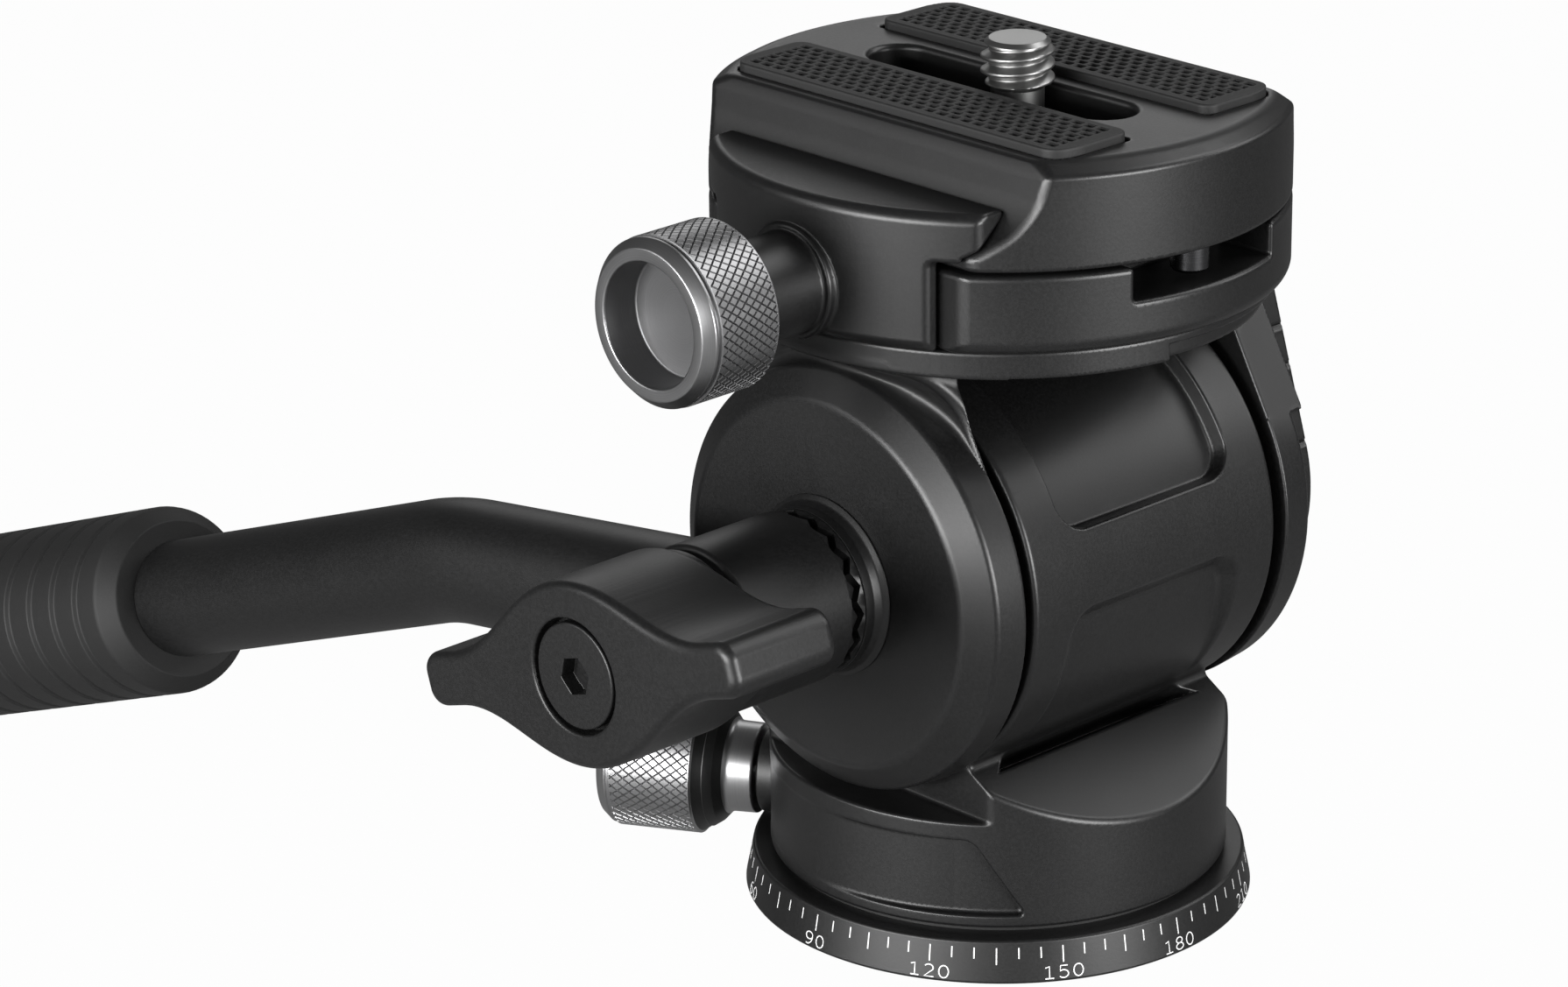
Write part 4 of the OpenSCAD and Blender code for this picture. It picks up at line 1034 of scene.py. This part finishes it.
def dress_inner():
    """Finishes for the solids that stay as they are."""
    finishes = {
        "pan_washer": NYLON, "pan_retainer": BASE_STEEL, "retainer_screws": BASE_STEEL,
        "pan_lock_stud": BASE_STEEL, "pan_brake_shoe": BRONZE, "bush_left": BRONZE, "bush_right": BRONZE,
        "bearing_plate": TILT_STEEL, "damper_stators": TILT_STEEL, "tilt_axle": TILT_STEEL,
        "axle_nut": TILT_STEEL, "damper_rotors": TILT_STEEL, "guide_pins": BASE_STEEL,
        "clamp_screw": KNOB, "slot_washer": BASE_STEEL, "wing_washer": TILT_STEEL, "wing_bolt": BOLT_BLACK}
    for name, finish in finishes.items():
        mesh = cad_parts[name].data
        mesh.materials.clear()
        mesh.materials.append(finish)


# Studio

LIGHT_AIM = Vector((0, 0, 0.04))
LIGHT_REACH = 0.7


def softbox(name, az, el, size, power):
    """A soft light round the head, turned towards it, with its direction in degrees."""
    lamp = bpy.data.lights.new(name, "AREA")
    lamp.shape = "RECTANGLE"
    lamp.size, lamp.size_y = size
    lamp.energy = power
    obj = bpy.data.objects.new(name, lamp)
    a, e = math.radians(az), math.radians(el)
    way = Vector((math.cos(a) * math.cos(e), math.sin(a) * math.cos(e), math.sin(e)))
    obj.location = LIGHT_AIM + way * LIGHT_REACH
    obj.rotation_euler = way.to_track_quat("Z", "Y").to_euler()
    bpy.context.collection.objects.link(obj)


def white_part(tree):
    """How white the floor and the room look: fully to the camera, faintly in the metal's reflections."""
    path = put(tree, "ShaderNodeLightPath").outputs
    through = math_of(tree, "MAXIMUM", path["Is Camera Ray"], path["Is Transmission Ray"])
    return math_of(tree, "MAXIMUM", through, math_of(tree, "MULTIPLY", path["Is Glossy Ray"], 0.08))


def make_floor():
    sides = ((-FLOOR_HALF, -FLOOR_HALF), (FLOOR_HALF, -FLOOR_HALF), (FLOOR_HALF, FLOOR_HALF),
             (-FLOOR_HALF, FLOOR_HALF))
    mesh = mesh_of("floor", [(x, y, FLOOR_Z) for x, y in sides], [[0, 1, 2, 3]])
    floor = bpy.data.objects.new("floor", mesh)
    bpy.context.collection.objects.link(floor)
    made = bpy.data.materials.new("pale_floor")
    tree = blank(made)
    part = math_of(tree, "MULTIPLY", white_part(tree), 0.98)
    paint = put(tree, "ShaderNodeBsdfDiffuse", Color=(0.2, 0.2, 0.2, 1)).outputs[0]
    glow = put(tree, "ShaderNodeEmission", Color=(1, 1, 1, 1), Strength=1.0).outputs[0]
    mix = put(tree, "ShaderNodeMixShader", at0=part, at1=paint, at2=glow).outputs[0]
    out = put(tree, "ShaderNodeOutputMaterial")
    tree.links.new(mix, out.inputs["Surface"])
    mesh.materials.append(made)


def make_room():
    world = bpy.data.worlds.new("studio")
    tree = blank(world)
    room = put(tree, "ShaderNodeBackground", Color=(0.5, 0.5, 0.5, 1), Strength=0.02).outputs[0]
    back = put(tree, "ShaderNodeBackground", Color=(1, 1, 1, 1), Strength=1.0).outputs[0]
    mix = put(tree, "ShaderNodeMixShader", at0=white_part(tree), at1=room, at2=back).outputs[0]
    out = put(tree, "ShaderNodeOutputWorld")
    tree.links.new(mix, out.inputs["Surface"])
    bpy.context.scene.world = world


def make_lights():
    softbox("left_box", -90, 8, (0.5, 0.26), 7.4)
    softbox("front_box", 3, 8, (0.36, 0.26), 5.6)
    softbox("corner_box", -60, 8, (0.26, 0.26), 0.9)
    softbox("rim_box", 60, 26, (0.26, 0.26), 0.9)
    softbox("top_box", 68, 52, (0.5, 0.26), 1.5)
    softbox("handle_box", -122, 24, (0.26, 0.26), 0.6)
    softbox("back_box", 138, 24, (0.4, 0.26), 0.45)


def make_camera():
    data = bpy.data.cameras.new("camera")
    data.lens = 123.2
    data.sensor_width = 36.0
    data.sensor_fit = "HORIZONTAL"
    data.clip_start, data.clip_end = 0.05, 20
    camera = bpy.data.objects.new("camera", data)
    bpy.context.collection.objects.link(camera)
    az, roll = math.radians(46.38), math.radians(-0.67)
    back = Vector((0.67674, -0.64491, 0.35512)).normalized()
    right = Vector((math.cos(az), math.sin(az), 0))
    up = back.cross(right)
    axes = (right * math.cos(roll) + up * math.sin(roll), up * math.cos(roll) - right * math.sin(roll), back)
    camera.matrix_world = Matrix.Translation(Vector((305.26, -316.94, 203.93)) * MM) \
        @ Matrix(axes).transposed().to_4x4()
    bpy.context.scene.camera = camera
    bpy.context.scene.view_settings.view_transform = "Standard"


make_base()
make_pan()
make_yoke_and_clamp()
make_plate()
make_handle()
dress_inner()
make_floor()
make_room()
make_lights()
make_camera()
